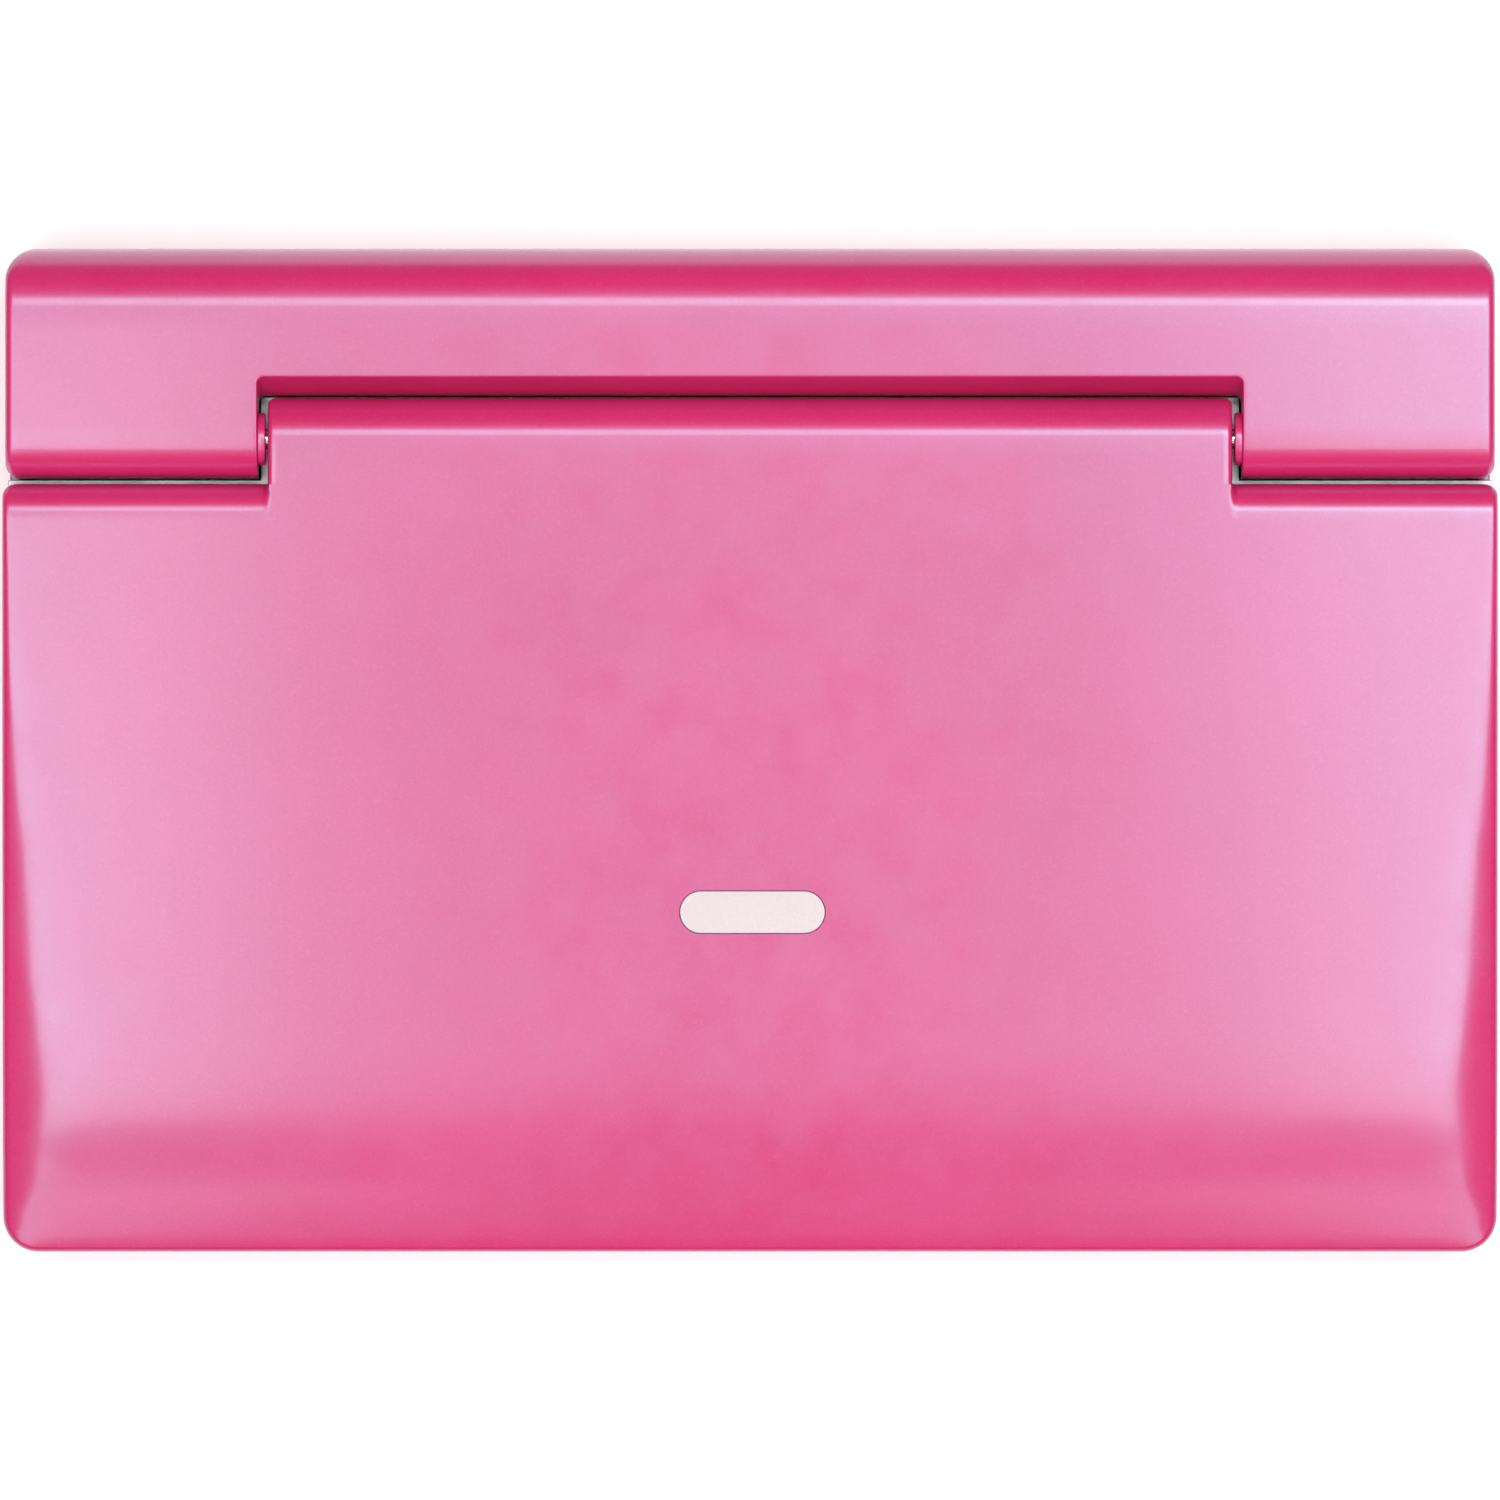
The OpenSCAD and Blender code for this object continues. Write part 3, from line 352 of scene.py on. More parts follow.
board = new_finish("solder_mask", Coat_Weight=0.3, Coat_Roughness=0.2)
where = place_of(board)
tracks = node(board, "ShaderNodeTexBrick")
tracks.inputs["Scale"].default_value = 260.0
tracks.inputs["Mortar Size"].default_value = 0.035
tracks.inputs["Color1"].default_value = (0.012, 0.115, 0.045, 1.0)
tracks.inputs["Color2"].default_value = (0.016, 0.150, 0.062, 1.0)
tracks.inputs["Mortar"].default_value = (0.050, 0.270, 0.110, 1.0)
wire(board, where, tracks.inputs["Vector"])
pads = node(board, "ShaderNodeTexVoronoi")
pads.inputs["Scale"].default_value = 340.0
wire(board, where, pads.inputs["Vector"])
pad_share = span(board, pads.outputs["Distance"], 1.0, 0.0, 0.16, 0.20)
wire(board, mixed(board, pad_share, tracks.outputs["Color"], (0.56, 0.55, 0.50)),
     shader_of(board).inputs["Base Color"])
wire(board, span(board, noise(board, where, 400.0, 3.0), 0.28, 0.46), shader_of(board).inputs["Roughness"])
relief(board, tracks.outputs["Fac"], 0.00002)
finishes["circuit_board"] = board

# %% Cells, screen and lens
sleeve = new_finish("shrink_sleeve", Coat_Weight=0.4, Coat_Roughness=0.15)
where = place_of(sleeve)
creases = noise(sleeve, place_of(sleeve, (0.12, 1.0, 1.0)), 520.0, 3.0)
wire(sleeve, ramp(sleeve, creases, (0.035, 0.12, 0.34), (0.060, 0.19, 0.46)),
     shader_of(sleeve).inputs["Base Color"])
wire(sleeve, span(sleeve, creases, 0.22, 0.38), shader_of(sleeve).inputs["Roughness"])
relief(sleeve, creases, 0.00003)
finishes["battery_sleeve"] = sleeve

screen = new_finish("screen_face", IOR=1.5, Coat_Weight=0.25, Coat_Roughness=0.22)
where = place_of(screen)
haze = noise(screen, where, 9.0, 3.0)
wire(screen, ramp(screen, haze, (0.008, 0.009, 0.012), (0.017, 0.018, 0.024)),
     shader_of(screen).inputs["Base Color"])
matte = noise(screen, where, 5200.0, 1.0)
wire(screen, span(screen, matte, 0.16, 0.26), shader_of(screen).inputs["Roughness"])
relief(screen, matte, 0.000001)
finishes["screen_glass"] = screen

lens = new_finish("coated_lens", IOR=1.6, Coat_Weight=1.0, Coat_Roughness=0.03,
                  Coat_Tint=(0.55, 0.62, 1.0, 1.0))
where = place_of(lens)
wire(lens, ramp(lens, noise(lens, where, 260.0, 2.0), (0.035, 0.050, 0.130), (0.090, 0.110, 0.260)),
     shader_of(lens).inputs["Base Color"])
wire(lens, span(lens, noise(lens, where, 700.0, 2.0), 0.03, 0.08), shader_of(lens).inputs["Roughness"])
finishes["lens_glass"] = lens

wanted = {m["slot"] for m in frame["record"]["materials"]}
print("finishes:", len(finishes), "missing:", sorted(wanted - set(finishes)))

# %% [markdown]
# ## Table top
# The table is a plain white board with a very faint tooth, so that it doesn't look like an empty space.

# %% Table top
paper = new_finish("white_board", Specular_IOR_Level=0.2, Emission_Color=(1.0, 1.0, 1.0, 1.0),
                   Emission_Strength=0.22)
where = place_of(paper)
wire(paper, ramp(paper, noise(paper, where, 300.0, 3.0), (0.90, 0.90, 0.90), (0.93, 0.93, 0.93)),
     shader_of(paper).inputs["Base Color"])
wire(paper, span(paper, noise(paper, where, 500.0, 2.0), 0.75, 0.9), shader_of(paper).inputs["Roughness"])
floor.data.materials.append(paper)

# %% [markdown]
# ## Every part gets its finish
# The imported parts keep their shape. Only the material in their slots is changed, by the name of the
# finish that the record gives each of them.

# %% Hand out the finishes
for name, thing in nodes.items():
    if not thing.material_slots:
        thing.data.materials.append(finishes[slot_of[name]])
    for holder in thing.material_slots:
        holder.material = finishes[slot_of[name]]
print("parts with a finish:", len(nodes))

# %% [markdown]
# ## Edges as a mould leaves them
# A moulded edge is never knife sharp: it has a small round that catches the light. A copy of the packed
# part is merged, its flat triangles are joined, and the sharp edges get a bevel. This keeps the exact
# shape, which a remodelled part might not. A modifier then evens out the shading, so that flat faces
# stay flat.

# %% A copy with softened edges
def take_place(piece, name, finish=None):
    """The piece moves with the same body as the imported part, and stands in for it."""
    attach(piece, bodies_of[name])
    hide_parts(name)
    if not piece.data.materials:
        piece.data.materials.append(finish or finishes[slot_of[name]])


def even_shading(piece):
    piece.data.shade_smooth()
    piece.modifiers.new("even_shading", "WEIGHTED_NORMAL").keep_sharp = True


def measured(bm):
    """Area, volume and the two box corners of a mesh."""
    low = Vector([min(v.co[i] for v in bm.verts) for i in range(3)])
    high = Vector([max(v.co[i] for v in bm.verts) for i in range(3)])
    return sum(f.calc_area() for f in bm.faces), abs(bm.calc_volume()), low, high


def keeps_shape(before, after):
    """A bevel that ran into its neighbours folds over: the area grows, or a corner leaves the box."""
    spill = max(max(before[2] - after[2]), max(after[3] - before[3]))
    return spill < 0.00001 and after[0] < before[0] * 1.005 and abs(after[1] - before[1]) < before[1] * 0.04


def softened(name, width, segments=2, angle=32.0):
    """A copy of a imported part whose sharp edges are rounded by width, or by less where that doesn't fit."""
    for share in (1.0, 0.6, 0.35, 0.2, 0.0):
        bm = bmesh.new()
        bm.from_mesh(nodes[name].data)
        bmesh.ops.remove_doubles(bm, verts=bm.verts, dist=2e-6)
        before = measured(bm)
        if share == 0.0:
            break
        bmesh.ops.dissolve_limit(bm, angle_limit=radians(0.5), verts=bm.verts, edges=bm.edges)
        sharp = [e for e in bm.edges if len(e.link_faces) == 2 and e.calc_face_angle(0.0) > radians(angle)]
        bmesh.ops.bevel(bm, geom=sharp, offset=width * share * MM, offset_type="OFFSET", affect="EDGES",
                        profile=0.5, segments=segments, material=-1, clamp_overlap=False, loop_slide=True)
        bmesh.ops.remove_doubles(bm, verts=bm.verts, dist=1e-6)
        bmesh.ops.triangulate(bm, faces=[f for f in bm.faces if len(f.verts) > 4])
        if keeps_shape(before, measured(bm)):
            break
        bm.free()
    mesh = mesh_from(bm, name + "_soft")
    for layer in [a.name for a in mesh.attributes if a.name == "custom_normal"]:
        mesh.attributes.remove(mesh.attributes[layer])
    mesh.materials.clear()
    piece = link(name + "_soft", mesh)
    take_place(piece, name)
    if share == 0.0:
        mesh.shade_smooth()
        mesh.set_sharp_from_angle(angle=radians(angle))
    even_shading(piece)
    print(name, "rounded by", round(width * share, 3), "mm")
    return piece


rounds = {
    "base_deck": 0.25, "base_shell": 0.3, "lid_bezel": 0.3, "disc_door": 0.3,
    "screen_surround": 0.2, "battery_cover": 0.25, "rubber_feet": 0.3, "open_button": 0.3,
    "disc_tray": 0.2, "well_floor": 0.15, "turntable": 0.25, "key_ok": 0.3, "power_slider": 0.2,
    "volume_wheel": 0.15, "headphone_jacks": 0.15, "av_jack": 0.15, "dc_jack": 0.15, "lid_bumpers": 0.3,
    "case_screws": 0.12, "ir_window": 0.15, "status_lights": 0.15, "pickup_sled": 0.2,
    "bright_key_down": 0.15, "bright_key_up": 0.15, "lcd_module": 0.25, "badge": 0.12,
}
for key in ("up", "down", "left", "right", "play", "stop", "prev", "next", "menu", "setup"):
    rounds["key_" + key] = 0.25
softened_pieces = {name: softened(name, width) for name, width in rounds.items()}
print("softened parts:", len(softened_pieces))

# %% [markdown]
# ## The lid's outer cover
# Seen from above the lid is a flat panel with a broad tongue at the back. Its top isn't flat all over:
# it rolls off in a long arc towards the front, soft facets grow along both sides towards the front
# corners, and the shoulders and the tongue end in rounds. A subdivision surface would wander from the
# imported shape, so the cover is made as a height field instead: an outline with rounded corners, rings
# parallel to it for a clean rim, straight cuts for the curves, and then one function that gives each
# point its height.

# %% How high the lid's top is at a point
LID_HALF = lid_high.x
FRONT = lid_low.y
TOP = lid_high.z
TONGUE_HALF = 0.0806
SHOULDER = 0.0445
TONGUE_END = 0.0589
ROLL_START, ROLL_RADIUS = -0.048, 0.103
SHOULDER_RADIUS, BARREL_RADIUS = 0.0047, 0.0065
BARREL_Y = 0.0524
RIM_RADIUS = 0.0009
FACET_SLOPE = 0.37
FACETS = [(-0.0840, 0.0016, 0.0012), (-0.0780, 0.0036, 0.0024), (-0.0700, 0.0056, 0.0036),
          (-0.0580, 0.0066, 0.0042), (-0.0400, 0.0052, 0.0034), (-0.0200, 0.0034, 0.0024),
          (0.0000, 0.0019, 0.0014), (0.0200, 0.0009, 0.0007), (0.0445, 0.0003, 0.0003)]


def smooth_step(t):
    t = min(1.0, max(0.0, t))
    return t * t * (3.0 - 2.0 * t)


def facet_at(y):
    """Width of the side facet and the softness of its crease, at depth y."""
    for (y0, w0, c0), (y1, w1, c1) in zip(FACETS, FACETS[1:]):
        if y <= y1:
            t = smooth_step((y - y0) / (y1 - y0))
            return w0 + (w1 - w0) * t, c0 + (c1 - c0) * t
    return FACETS[-1][1], FACETS[-1][2]


def round_drop(radius, gone):
    """Drop of a quarter round at the distance gone past its start."""
    gone = min(radius, max(0.0, gone))
    return radius - sqrt(radius * radius - gone * gone)


def rim_distance(x, y):
    """Distance to the lid's rim, at its sides and front, with the round corners counted."""
    side, front = LID_HALF - abs(x), y - FRONT
    corner = 0.006
    if side < corner and front < corner:
        return corner - hypot(corner - side, corner - front)
    if y > SHOULDER - 0.0001:
        return TONGUE_HALF - abs(x)
    return min(side, front)


def lid_drop(x, y):
    side = LID_HALF - abs(x)
    drop = round_drop(ROLL_RADIUS, ROLL_START - y)
    width, crease = facet_at(y)
    past = width - side
    drop += FACET_SLOPE * 0.5 * (sqrt(past * past + crease * crease) + past)
    drop += round_drop(RIM_RADIUS, RIM_RADIUS - rim_distance(x, y))
    if y <= SHOULDER + 0.00001:
        across = smooth_step((abs(x) - TONGUE_HALF + 0.0003) / 0.0013)
        drop += across * round_drop(SHOULDER_RADIUS, y - SHOULDER + SHOULDER_RADIUS)
    if abs(x) <= TONGUE_HALF + 0.00001:
        drop += round_drop(BARREL_RADIUS, y - BARREL_Y)
    return drop


print("drop at the front edge:", round(lid_drop(0.0, FRONT) * 1000, 2), "mm")

# %% Tools for an outline with rings along its rim
TOUCHING = 0.00001


def largest(bm):
    return max(bm.faces, key=lambda f: f.calc_area())


def symmetric_plan(outline, corners, ring_steps):
    """A flat face from its right half's outline, with rounded corners and rings parallel to its rim."""
    bm = bmesh.new()
    plan = outline + [(-x, y) for x, y in reversed(outline)]
    bm.faces.new([bm.verts.new((x, y, 0.0)) for x, y in plan])
    for (x, y), (radius, segments) in corners.items():
        picked = [v for v in bm.verts if hypot(abs(v.co.x) - x, v.co.y - y) < TOUCHING]
        bmesh.ops.bevel(bm, geom=picked, offset=radius, offset_type="OFFSET", affect="VERTICES",
                        segments=segments, profile=0.5, material=-1)
    for step in ring_steps:
        bmesh.ops.inset_region(bm, faces=[largest(bm)], thickness=step, use_boundary=True,
                               use_even_offset=True)
    print("ring faces:", len(bm.faces) - 1)
    return bm


# %% The lid's outline
corners = {(LID_HALF, FRONT): (0.006, 12), (LID_HALF, SHOULDER): (0.0023, 6),
           (TONGUE_HALF, TONGUE_END): (0.0012, 5)}
outline = [(LID_HALF, FRONT), (LID_HALF, SHOULDER), (TONGUE_HALF, SHOULDER), (TONGUE_HALF, TONGUE_END)]
bm = symmetric_plan(outline, corners, (0.00008, 0.00012, 0.00016, 0.00022, 0.00030))

# %% Straight cuts where the top curves
def cut(bm, axis, value):
    normal = (1, 0, 0) if axis == "x" else (0, 1, 0)
    point = (value, 0, 0) if axis == "x" else (0, value, 0)
    bmesh.ops.bisect_plane(bm, geom=bm.verts[:] + bm.edges[:] + bm.faces[:], dist=1e-7, plane_co=point,
                           plane_no=normal)


across_cuts = [123.6, 122.9, 122.0, 121.0, 120.2, 119.4, 118.6, 117.6, 116.6, 115.4, 114.0, 112.5, 110.5,
               108.0, 104.0, 98.0, 90.0, 84.0, 82.6, 81.7, 81.4, 81.15, 80.9, 80.65, 80.35, 80.0, 79.0, 76.0,
               60.0, 40.0, 20.0]
for value in across_cuts:
    cut(bm, "x", value * MM)
    cut(bm, "x", -value * MM)
along_cuts = [-81.0, -80.0, -79.0, -78.0, -76.5, -75.0, -73.0, -71.0, -69.0, -67.0, -64.5, -62.0, -59.5,
              -57.0, -54.5, -52.0, -50.0, -48.0, -44.0, -38.0, -16.0, -8.0, 0.0, 8.0, 16.0, 24.0, 30.0,
              35.0, 38.0, 39.8]
shoulder_angles = (12, 24, 36, 48, 60, 70, 80)
along_cuts += [39.8 + 4.7 * sin(radians(a)) for a in shoulder_angles] + [44.4, 46.0, 49.0, 52.4]
along_cuts += [52.4 + 6.5 * sin(radians(a)) for a in (8, 16, 24, 32, 40, 48, 56, 64, 72, 80)]
for value in along_cuts:
    cut(bm, "y", value * MM)
print("cover faces after the cuts:", len(bm.faces))

# %% A seat for the inlay
# One cell round the inlay is cleared, the pill's outline is set in it, and the gap between is filled
# again.
badge_low, badge_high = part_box("badge")
badge_x, badge_y = (badge_low.x + badge_high.x) / 2, (badge_low.y + badge_high.y) / 2
PILL_HALF, PILL_RADIUS = 0.01225, 0.00365


def pill_loop(bm, x, y, z, half, radius, segments=12):
    """The edges of a pill outline: a rectangle whose four corners are rounded until they meet."""
    corners = [(x - half, y - radius), (x + half, y - radius), (x + half, y + radius), (x - half, y + radius)]
    made = bm.faces.new([bm.verts.new((px, py, z)) for px, py in corners])
    done = bmesh.ops.bevel(bm, geom=made.verts[:], offset=radius * 0.9995, offset_type="OFFSET",
                           affect="VERTICES", segments=segments, profile=0.5, material=-1)
    faces = [f for f in bm.faces if f.is_valid and set(done["verts"]) & set(f.verts)]
    edges = [e for f in faces for e in f.edges]
    bmesh.ops.delete(bm, geom=faces, context="FACES_KEEP_BOUNDARY")
    return [e for e in edges if e.is_valid]


cell = [f for f in bm.faces if abs(f.calc_center_median().x) < 0.02
        and -0.038 < f.calc_center_median().y < -0.016]
around = [e for f in cell for e in f.edges]
around = [e for e in around if sum(e in f.edges for f in cell) == 1]
bmesh.ops.delete(bm, geom=cell, context="FACES_KEEP_BOUNDARY")
pill = pill_loop(bm, badge_x, badge_y, 0.0, PILL_HALF, PILL_RADIUS)
filled = bmesh.ops.triangle_fill(bm, use_beauty=True, use_dissolve=False, edges=list(set(around)) + pill)
inside = [f for f in filled["geom"] if isinstance(f, bmesh.types.BMFace)
          and abs(f.calc_center_median().x - badge_x) < PILL_HALF - PILL_RADIUS
          and abs(f.calc_center_median().y - badge_y) < PILL_RADIUS
          and all(abs(v.co.y - badge_y) < PILL_RADIUS * 1.001 and abs(v.co.x - badge_x) < PILL_HALF * 1.001
                  for v in f.verts)]
bmesh.ops.delete(bm, geom=inside, context="FACES_ONLY")
print("faces cleared inside the pill:", len(inside))

# %% Tools for walls and thickness
WALL = 0.0008
CREASE = radians(40)


def points(made):
    return [g for g in made if isinstance(g, bmesh.types.BMVert)]


def open_edges(made):
    return [g for g in made if isinstance(g, bmesh.types.BMEdge) and g.is_boundary]


def moulding(bm, name, merge):
    """Closes the open sheet into a wall of even thickness, with its faces outward."""
    bmesh.ops.remove_doubles(bm, verts=bm.verts, dist=merge)
    bmesh.ops.recalc_face_normals(bm, faces=bm.faces)
    if largest(bm).normal.z < 0:
        bmesh.ops.reverse_faces(bm, faces=bm.faces)
    bmesh.ops.solidify(bm, geom=bm.faces, thickness=WALL)
    return link(name, mesh_from(bm, name))


def stand_in(piece, name):
    take_place(piece, name)
    piece.data.shade_smooth()
    piece.data.set_sharp_from_angle(angle=CREASE)
    print(piece.name, "faces:", len(piece.data.polygons))


# %% The lid's heights and walls
for v in bm.verts:
    v.co.z = TOP - lid_drop(v.co.x, v.co.y)
bm.normal_update()
for f in bm.faces:
    if f.normal.z < 0:
        f.normal_flip()
seat = [e for e in bm.edges if e.is_boundary and abs(e.verts[0].co.x - badge_x) < 0.013
        and abs(e.verts[0].co.y - badge_y) < 0.004 and abs(e.verts[1].co.y - badge_y) < 0.004]
rim = [e for e in bm.edges if e.is_boundary and e not in set(seat)]
down = bmesh.ops.extrude_edge_only(bm, edges=seat)["geom"]
for v in points(down):
    v.co.z -= 0.0009
bmesh.ops.contextual_create(bm, geom=open_edges(down))
SEAM = 0.0263
BARREL_Z = TOP - BARREL_RADIUS
levels = [BARREL_Z - BARREL_RADIUS * sin(radians(a)) for a in (10, 20, 30)] + [SEAM]
loop, reach = rim, BARREL_RADIUS
for level in levels:
    shrunk = sqrt(BARREL_RADIUS ** 2 - (BARREL_Z - level) ** 2) / reach
    reach *= shrunk
    made = bmesh.ops.extrude_edge_only(bm, edges=loop)["geom"]
    loop = open_edges(made)
    for v in points(made):
        if v.co.y > BARREL_Y:
            v.co.y = BARREL_Y + (v.co.y - BARREL_Y) * shrunk
        v.co.z = level if v.co.z > level or level == SEAM else v.co.z
stand_in(moulding(bm, "lid_cover_panel", TOUCHING), "lid_cover")

# %% [markdown]
# ## The rear block
# The block is one long moulding whose side view is the same along its whole width: a big round at the
# back, a flat top, and a crease where a smaller round turns down to the lid. It could be an extruded
# side view, but its plan has round corners and a notch too. So it is made as the lid was: the plan with
# rings along its rim, cuts where the side view curves, heights from that side view, and walls pulled
# down from the rim.

# %% Side view of the block
HOUSE_HALF, HOUSE_FRONT, HOUSE_REAR = 0.1245, 0.04554, 0.084
NOTCH_HALF, NOTCH_TOP, NOTCH_LOW = 0.08235, 0.0623, 0.0594
EDGE_RADIUS = 0.010
NOSE_RADIUS, NOSE_Y, NOSE_Z = 0.0071, 0.05264, 0.03009
CREASE_Y = 0.0502
END_RADIUS, LIP_RADIUS = 0.0012, 0.00035
REAR_CORNER, FRONT_CORNER, NOTCH_CORNER = 0.0054, 0.0022, 0.0010


def end_distance(x, y):
    """Distance to the block's end faces, and how much of the end's round applies there."""
    side = HOUSE_HALF - abs(x)
    rear, front = HOUSE_REAR - y, y - HOUSE_FRONT
    for radius, other, fade in ((REAR_CORNER, rear, 0.004), (FRONT_CORNER, front, 0.0018)):
        if side < radius and other < radius:
            return radius - hypot(radius - side, radius - other), smooth_step((radius - side) / fade)
    return side, 1.0


def lip_distance(x, y):
    """Distance to the notch's edge, with its round inner corners counted."""
    beside, behind = abs(x) - NOTCH_HALF + NOTCH_CORNER, y - NOTCH_TOP + NOTCH_CORNER
    if beside > 0.0 and behind > 0.0:
        return hypot(beside, behind) - NOTCH_CORNER
    return (beside if beside > 0.0 else behind) - NOTCH_CORNER


def block_drop(x, y):
    drop = round_drop(EDGE_RADIUS, y - HOUSE_REAR + EDGE_RADIUS)
    if y < CREASE_Y:
        drop += max(0.0, TOP - NOSE_Z - sqrt(max(0.0, NOSE_RADIUS ** 2 - (y - NOSE_Y) ** 2)))
    ends, share = end_distance(x, y)
    drop += share * round_drop(END_RADIUS, END_RADIUS - ends)
    return drop + round_drop(LIP_RADIUS, LIP_RADIUS - lip_distance(x, y))


print("block front edge height:", round((TOP - block_drop(0.1, HOUSE_FRONT)) * 1000, 2), "mm")

# %% Plan, rings and cuts of the block
corners = {(HOUSE_HALF, HOUSE_FRONT): (FRONT_CORNER, 5), (HOUSE_HALF, HOUSE_REAR): (REAR_CORNER, 9),
           (NOTCH_HALF, NOTCH_TOP): (NOTCH_CORNER, 5)}
outline = [(NOTCH_HALF, NOTCH_TOP), (NOTCH_HALF, HOUSE_FRONT),
           (HOUSE_HALF, HOUSE_FRONT), (HOUSE_HALF, HOUSE_REAR)]
bm = symmetric_plan(outline, corners, (0.00008, 0.00012, 0.00018, 0.00025, 0.00035, 0.0004))
for value in (122.3, 120.8, 119.1, 110.0, 95.0, 84.5, 60.0, 30.0, 0.0):
    cut(bm, "x", value * MM)
    cut(bm, "x", -value * MM)
for angle in range(6, 90, 6):
    cut(bm, "y", HOUSE_REAR - EDGE_RADIUS + EDGE_RADIUS * sin(radians(angle)))
for angle in (10, 20, 30, 40, 50, 60):
    cut(bm, "y", NOSE_Y - NOSE_RADIUS * cos(radians(angle)))
for value in (CREASE_Y - 0.0002, CREASE_Y + 0.0001, 0.0540, 0.0575, 0.0660, 0.0700, 0.0740):
    cut(bm, "y", value)
for v in bm.verts:
    v.co.z = TOP - block_drop(v.co.x, v.co.y)
print("block faces after the cuts:", len(bm.faces))

# %% Walls of the block
SLOPE_END, NOTCH_FLOOR, BLOCK_SEAM = 0.0308, 0.0200, 0.0120


def notch_side(v):
    return abs(v.co.x) < NOTCH_HALF + 2 * TOUCHING and v.co.y < NOTCH_TOP + 2 * TOUCHING


loop = [e for e in bm.edges if e.is_boundary]
for level in (SLOPE_END, NOTCH_FLOOR, BLOCK_SEAM):
    made = bmesh.ops.extrude_edge_only(bm, edges=loop)["geom"]
    for v in points(made):
        if level == SLOPE_END and notch_side(v) and v.co.y > NOTCH_TOP - 1.1 * NOTCH_CORNER:
            v.co.y -= NOTCH_TOP - NOTCH_LOW
        v.co.z = min(v.co.z, level)
    loop = open_edges(made)
    if level == NOTCH_FLOOR:
        loop = [e for e in loop if not all(notch_side(v) for v in e.verts)]
block = moulding(bm, "rear_block", 1e-6)

# %% Socket hole and slots
SOCKET, SOCKET_RADIUS = Vector((0.1235, 0.061, 0.024)), 0.0042
SLOTS, SLOT_STEP, FIRST_SLOT = 9, 0.005, Vector((-0.096, 0.0835, 0.022))
SLOT_SIZE = (0.002, 0.008, 0.009, 1.0)
ALONG_X = Matrix.Rotation(radians(90), 4, "Y")


def edges_of(made):
    return {e for v in made["verts"] for e in v.link_edges}


bm = bmesh.new()
bmesh.ops.create_cone(bm, cap_ends=True, segments=40, radius1=SOCKET_RADIUS, radius2=SOCKET_RADIUS,
                      depth=0.008, matrix=Matrix.Translation(SOCKET) @ ALONG_X)
for i in range(SLOTS):
    spot = Matrix.Translation(FIRST_SLOT + Vector((i * SLOT_STEP, 0.0, 0.0)))
    made = bmesh.ops.create_cube(bm, size=1.0, matrix=spot @ Matrix.Diagonal(SLOT_SIZE))
    deep = [e for e in edges_of(made) if abs(e.verts[0].co.y - e.verts[1].co.y) > SLOT_SIZE[1] / 2]
    bmesh.ops.bevel(bm, geom=deep, offset=0.00095, offset_type="OFFSET", affect="EDGES", segments=4,
                    profile=0.5, material=-1)
cutter = link("slot_cutter", mesh_from(bm, "slot_cutter"))


def carve(piece, tool):
    """Cuts the tool's shape out of the piece for good, and removes the tool."""
    knife = piece.modifiers.new("carve", "BOOLEAN")
    knife.operation, knife.solver, knife.object = "DIFFERENCE", "EXACT", tool
    result = bpy.data.meshes.new_from_object(piece.evaluated_get(bpy.context.evaluated_depsgraph_get()))
    piece.modifiers.clear()
    piece.data = result
    bpy.data.objects.remove(tool)


carve(block, cutter)
stand_in(block, "rear_housing")

# %% [markdown]
# ## Collars round the hinge shafts
# In the narrow gap at each end of the tongue, a pink collar hides the steel shaft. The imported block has
# it as one solid with the rest. Here each collar is a short capped cylinder on the hinge's axis, with its
# two rims rounded, because a turned shape needs no outline of its own. Both collars are one piece that
# stays with the base.

# %% Collars in the gap beside the tongue
COLLAR_X, AXIS_Y, AXIS_Z = 0.08172, 0.052, 0.0318
COLLAR_RADIUS, COLLAR_WIDTH = 0.0044, 0.00134
bm = bmesh.new()
for side in (-1, 1):
    spot = Matrix.Translation((side * COLLAR_X, AXIS_Y, AXIS_Z)) @ ALONG_X
    made = bmesh.ops.create_cone(bm, cap_ends=True, segments=48, radius1=COLLAR_RADIUS, radius2=COLLAR_RADIUS,
                                 depth=COLLAR_WIDTH, matrix=spot)
    rims = [e for e in edges_of(made) if abs(e.verts[0].co.x - e.verts[1].co.x) < 1e-6]
    bmesh.ops.bevel(bm, geom=rims, offset=0.0003, offset_type="OFFSET", affect="EDGES", segments=3,
                    profile=0.5, material=-1)
collars = link("hinge_collars", mesh_from(bm, "hinge_collars"))
collars.data.materials.append(finishes["pink_shell"])
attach(collars, "base")
even_shading(collars)

# %% [markdown]
# ## The barrel's lower half
# The bezel is silver, but the half barrel under the tongue belongs to the shell's colour, as if it were
# painted with the cover. Splitting the part would leave a seam, so the faces behind the shoulder take a
# second finish.

# %% The barrel's lower half is pink too
bezel = softened_pieces["lid_bezel"]
bezel.data.materials.append(finishes["pink_shell"])
for face in bezel.data.polygons:
    if face.center.y > SHOULDER + 0.0001 or (face.normal.y > 0.9 and face.center.y > SHOULDER - 0.0003):
        face.material_index = 1
print("bezel finishes:", len(bezel.data.materials))

# %% [markdown]
# ## Signs on the keys
# Each key carries one of the signs that every player has: a triangle, a square, arrows, lines. They are
# printed on the real thing, so here they are plates a twentieth of a millimetre thick that sit in the
# key's top and ride on its body, with a paint finish of their own. A picture on the key would do it
# too, but plates stay crisp.

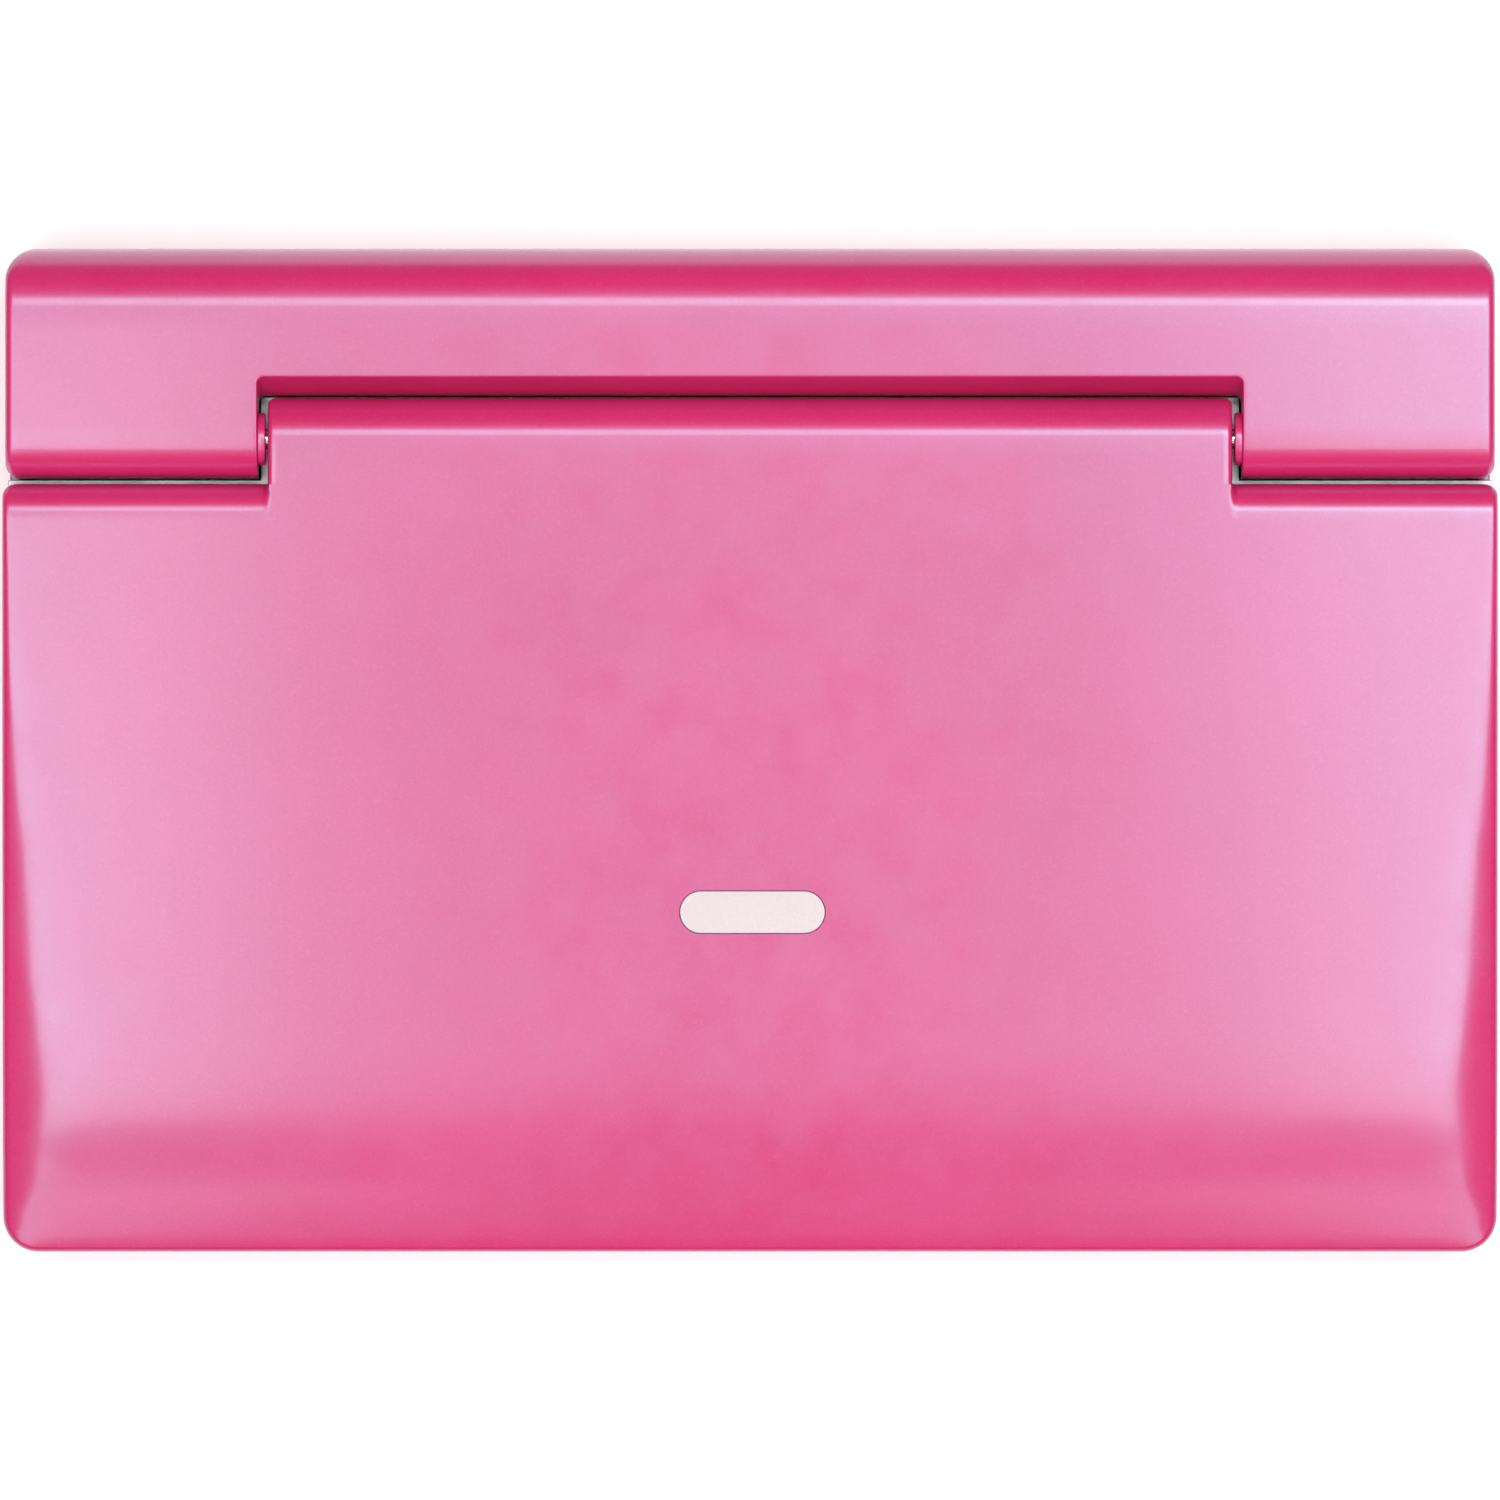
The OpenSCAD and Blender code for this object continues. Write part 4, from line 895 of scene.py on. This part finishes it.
# %% Signs
sign_paint = moulded("sign_paint", (0.030, 0.031, 0.034), (0.050, 0.051, 0.055), (0.38, 0.52), grain=2600.0,
                     depth=0.000002)
SIGNS = {
    "key_play": [("tip", -2.2, 0.0, 1.7, 0), ("bar", 1.5, 0.0, 0.7, 2.8), ("bar", 3.1, 0.0, 0.7, 2.8)],
    "key_stop": [("bar", 0.0, 0.0, 2.7, 2.7)],
    "key_prev": [("bar", -2.9, 0.0, 0.6, 2.8), ("tip", -0.9, 0.0, 1.6, 180), ("tip", 1.8, 0.0, 1.6, 180)],
    "key_next": [("bar", 2.9, 0.0, 0.6, 2.8), ("tip", 0.9, 0.0, 1.6, 0), ("tip", -1.8, 0.0, 1.6, 0)],
    "key_menu": [("bar", 0.0, 1.2, 4.4, 0.6), ("bar", 0.0, 0.0, 4.4, 0.6), ("bar", 0.0, -1.2, 4.4, 0.6)],
    "key_setup": [("dot", -1.9, 0.0, 0.6, 0), ("dot", 0.0, 0.0, 0.6, 0), ("dot", 1.9, 0.0, 0.6, 0)],
    "key_up": [("tip", 0.0, 3.0, 1.5, 90)],
    "key_down": [("tip", 0.0, -3.0, 1.5, -90)],
    "key_left": [("tip", -3.0, 0.0, 1.5, 180)],
    "key_right": [("tip", 3.0, 0.0, 1.5, 0)],
    "key_ok": [("dot", 0.0, 0.0, 1.3, 0)],
}
PLATE = 0.00005
plates = 0
for key, marks in SIGNS.items():
    low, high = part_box(key)
    middle = Vector(((low.x + high.x) / 2, (low.y + high.y) / 2, high.z - PLATE * 0.5))
    bm = bmesh.new()
    for kind, x, y, a, b in marks:
        spot = Matrix.Translation(middle + Vector((x, y, 0.0)) * MM)
        if kind == "bar":
            size = Matrix.Diagonal((a * MM, b * MM, PLATE, 1.0))
            bmesh.ops.create_cube(bm, size=1.0, matrix=spot @ size)
        else:
            turn = Matrix.Rotation(radians(b - 90), 4, "Z")
            bmesh.ops.create_cone(bm, cap_ends=True, segments=3 if kind == "tip" else 28, radius1=a * MM,
                                  radius2=a * MM, depth=PLATE, matrix=spot @ turn)
    upright = [e for e in bm.edges
               if abs(e.verts[0].co.z - e.verts[1].co.z) > PLATE / 2 and e.calc_face_angle() > 0.8]
    bmesh.ops.bevel(bm, geom=upright, offset=0.00012, offset_type="OFFSET", affect="EDGES", segments=2,
                    profile=0.5, material=-1)
    sign = link("sign_" + key, mesh_from(bm, "sign_" + key))
    sign.data.materials.append(sign_paint)
    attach(sign, bodies_of[key])
    plates += len(marks)
print("marks on keys:", plates)
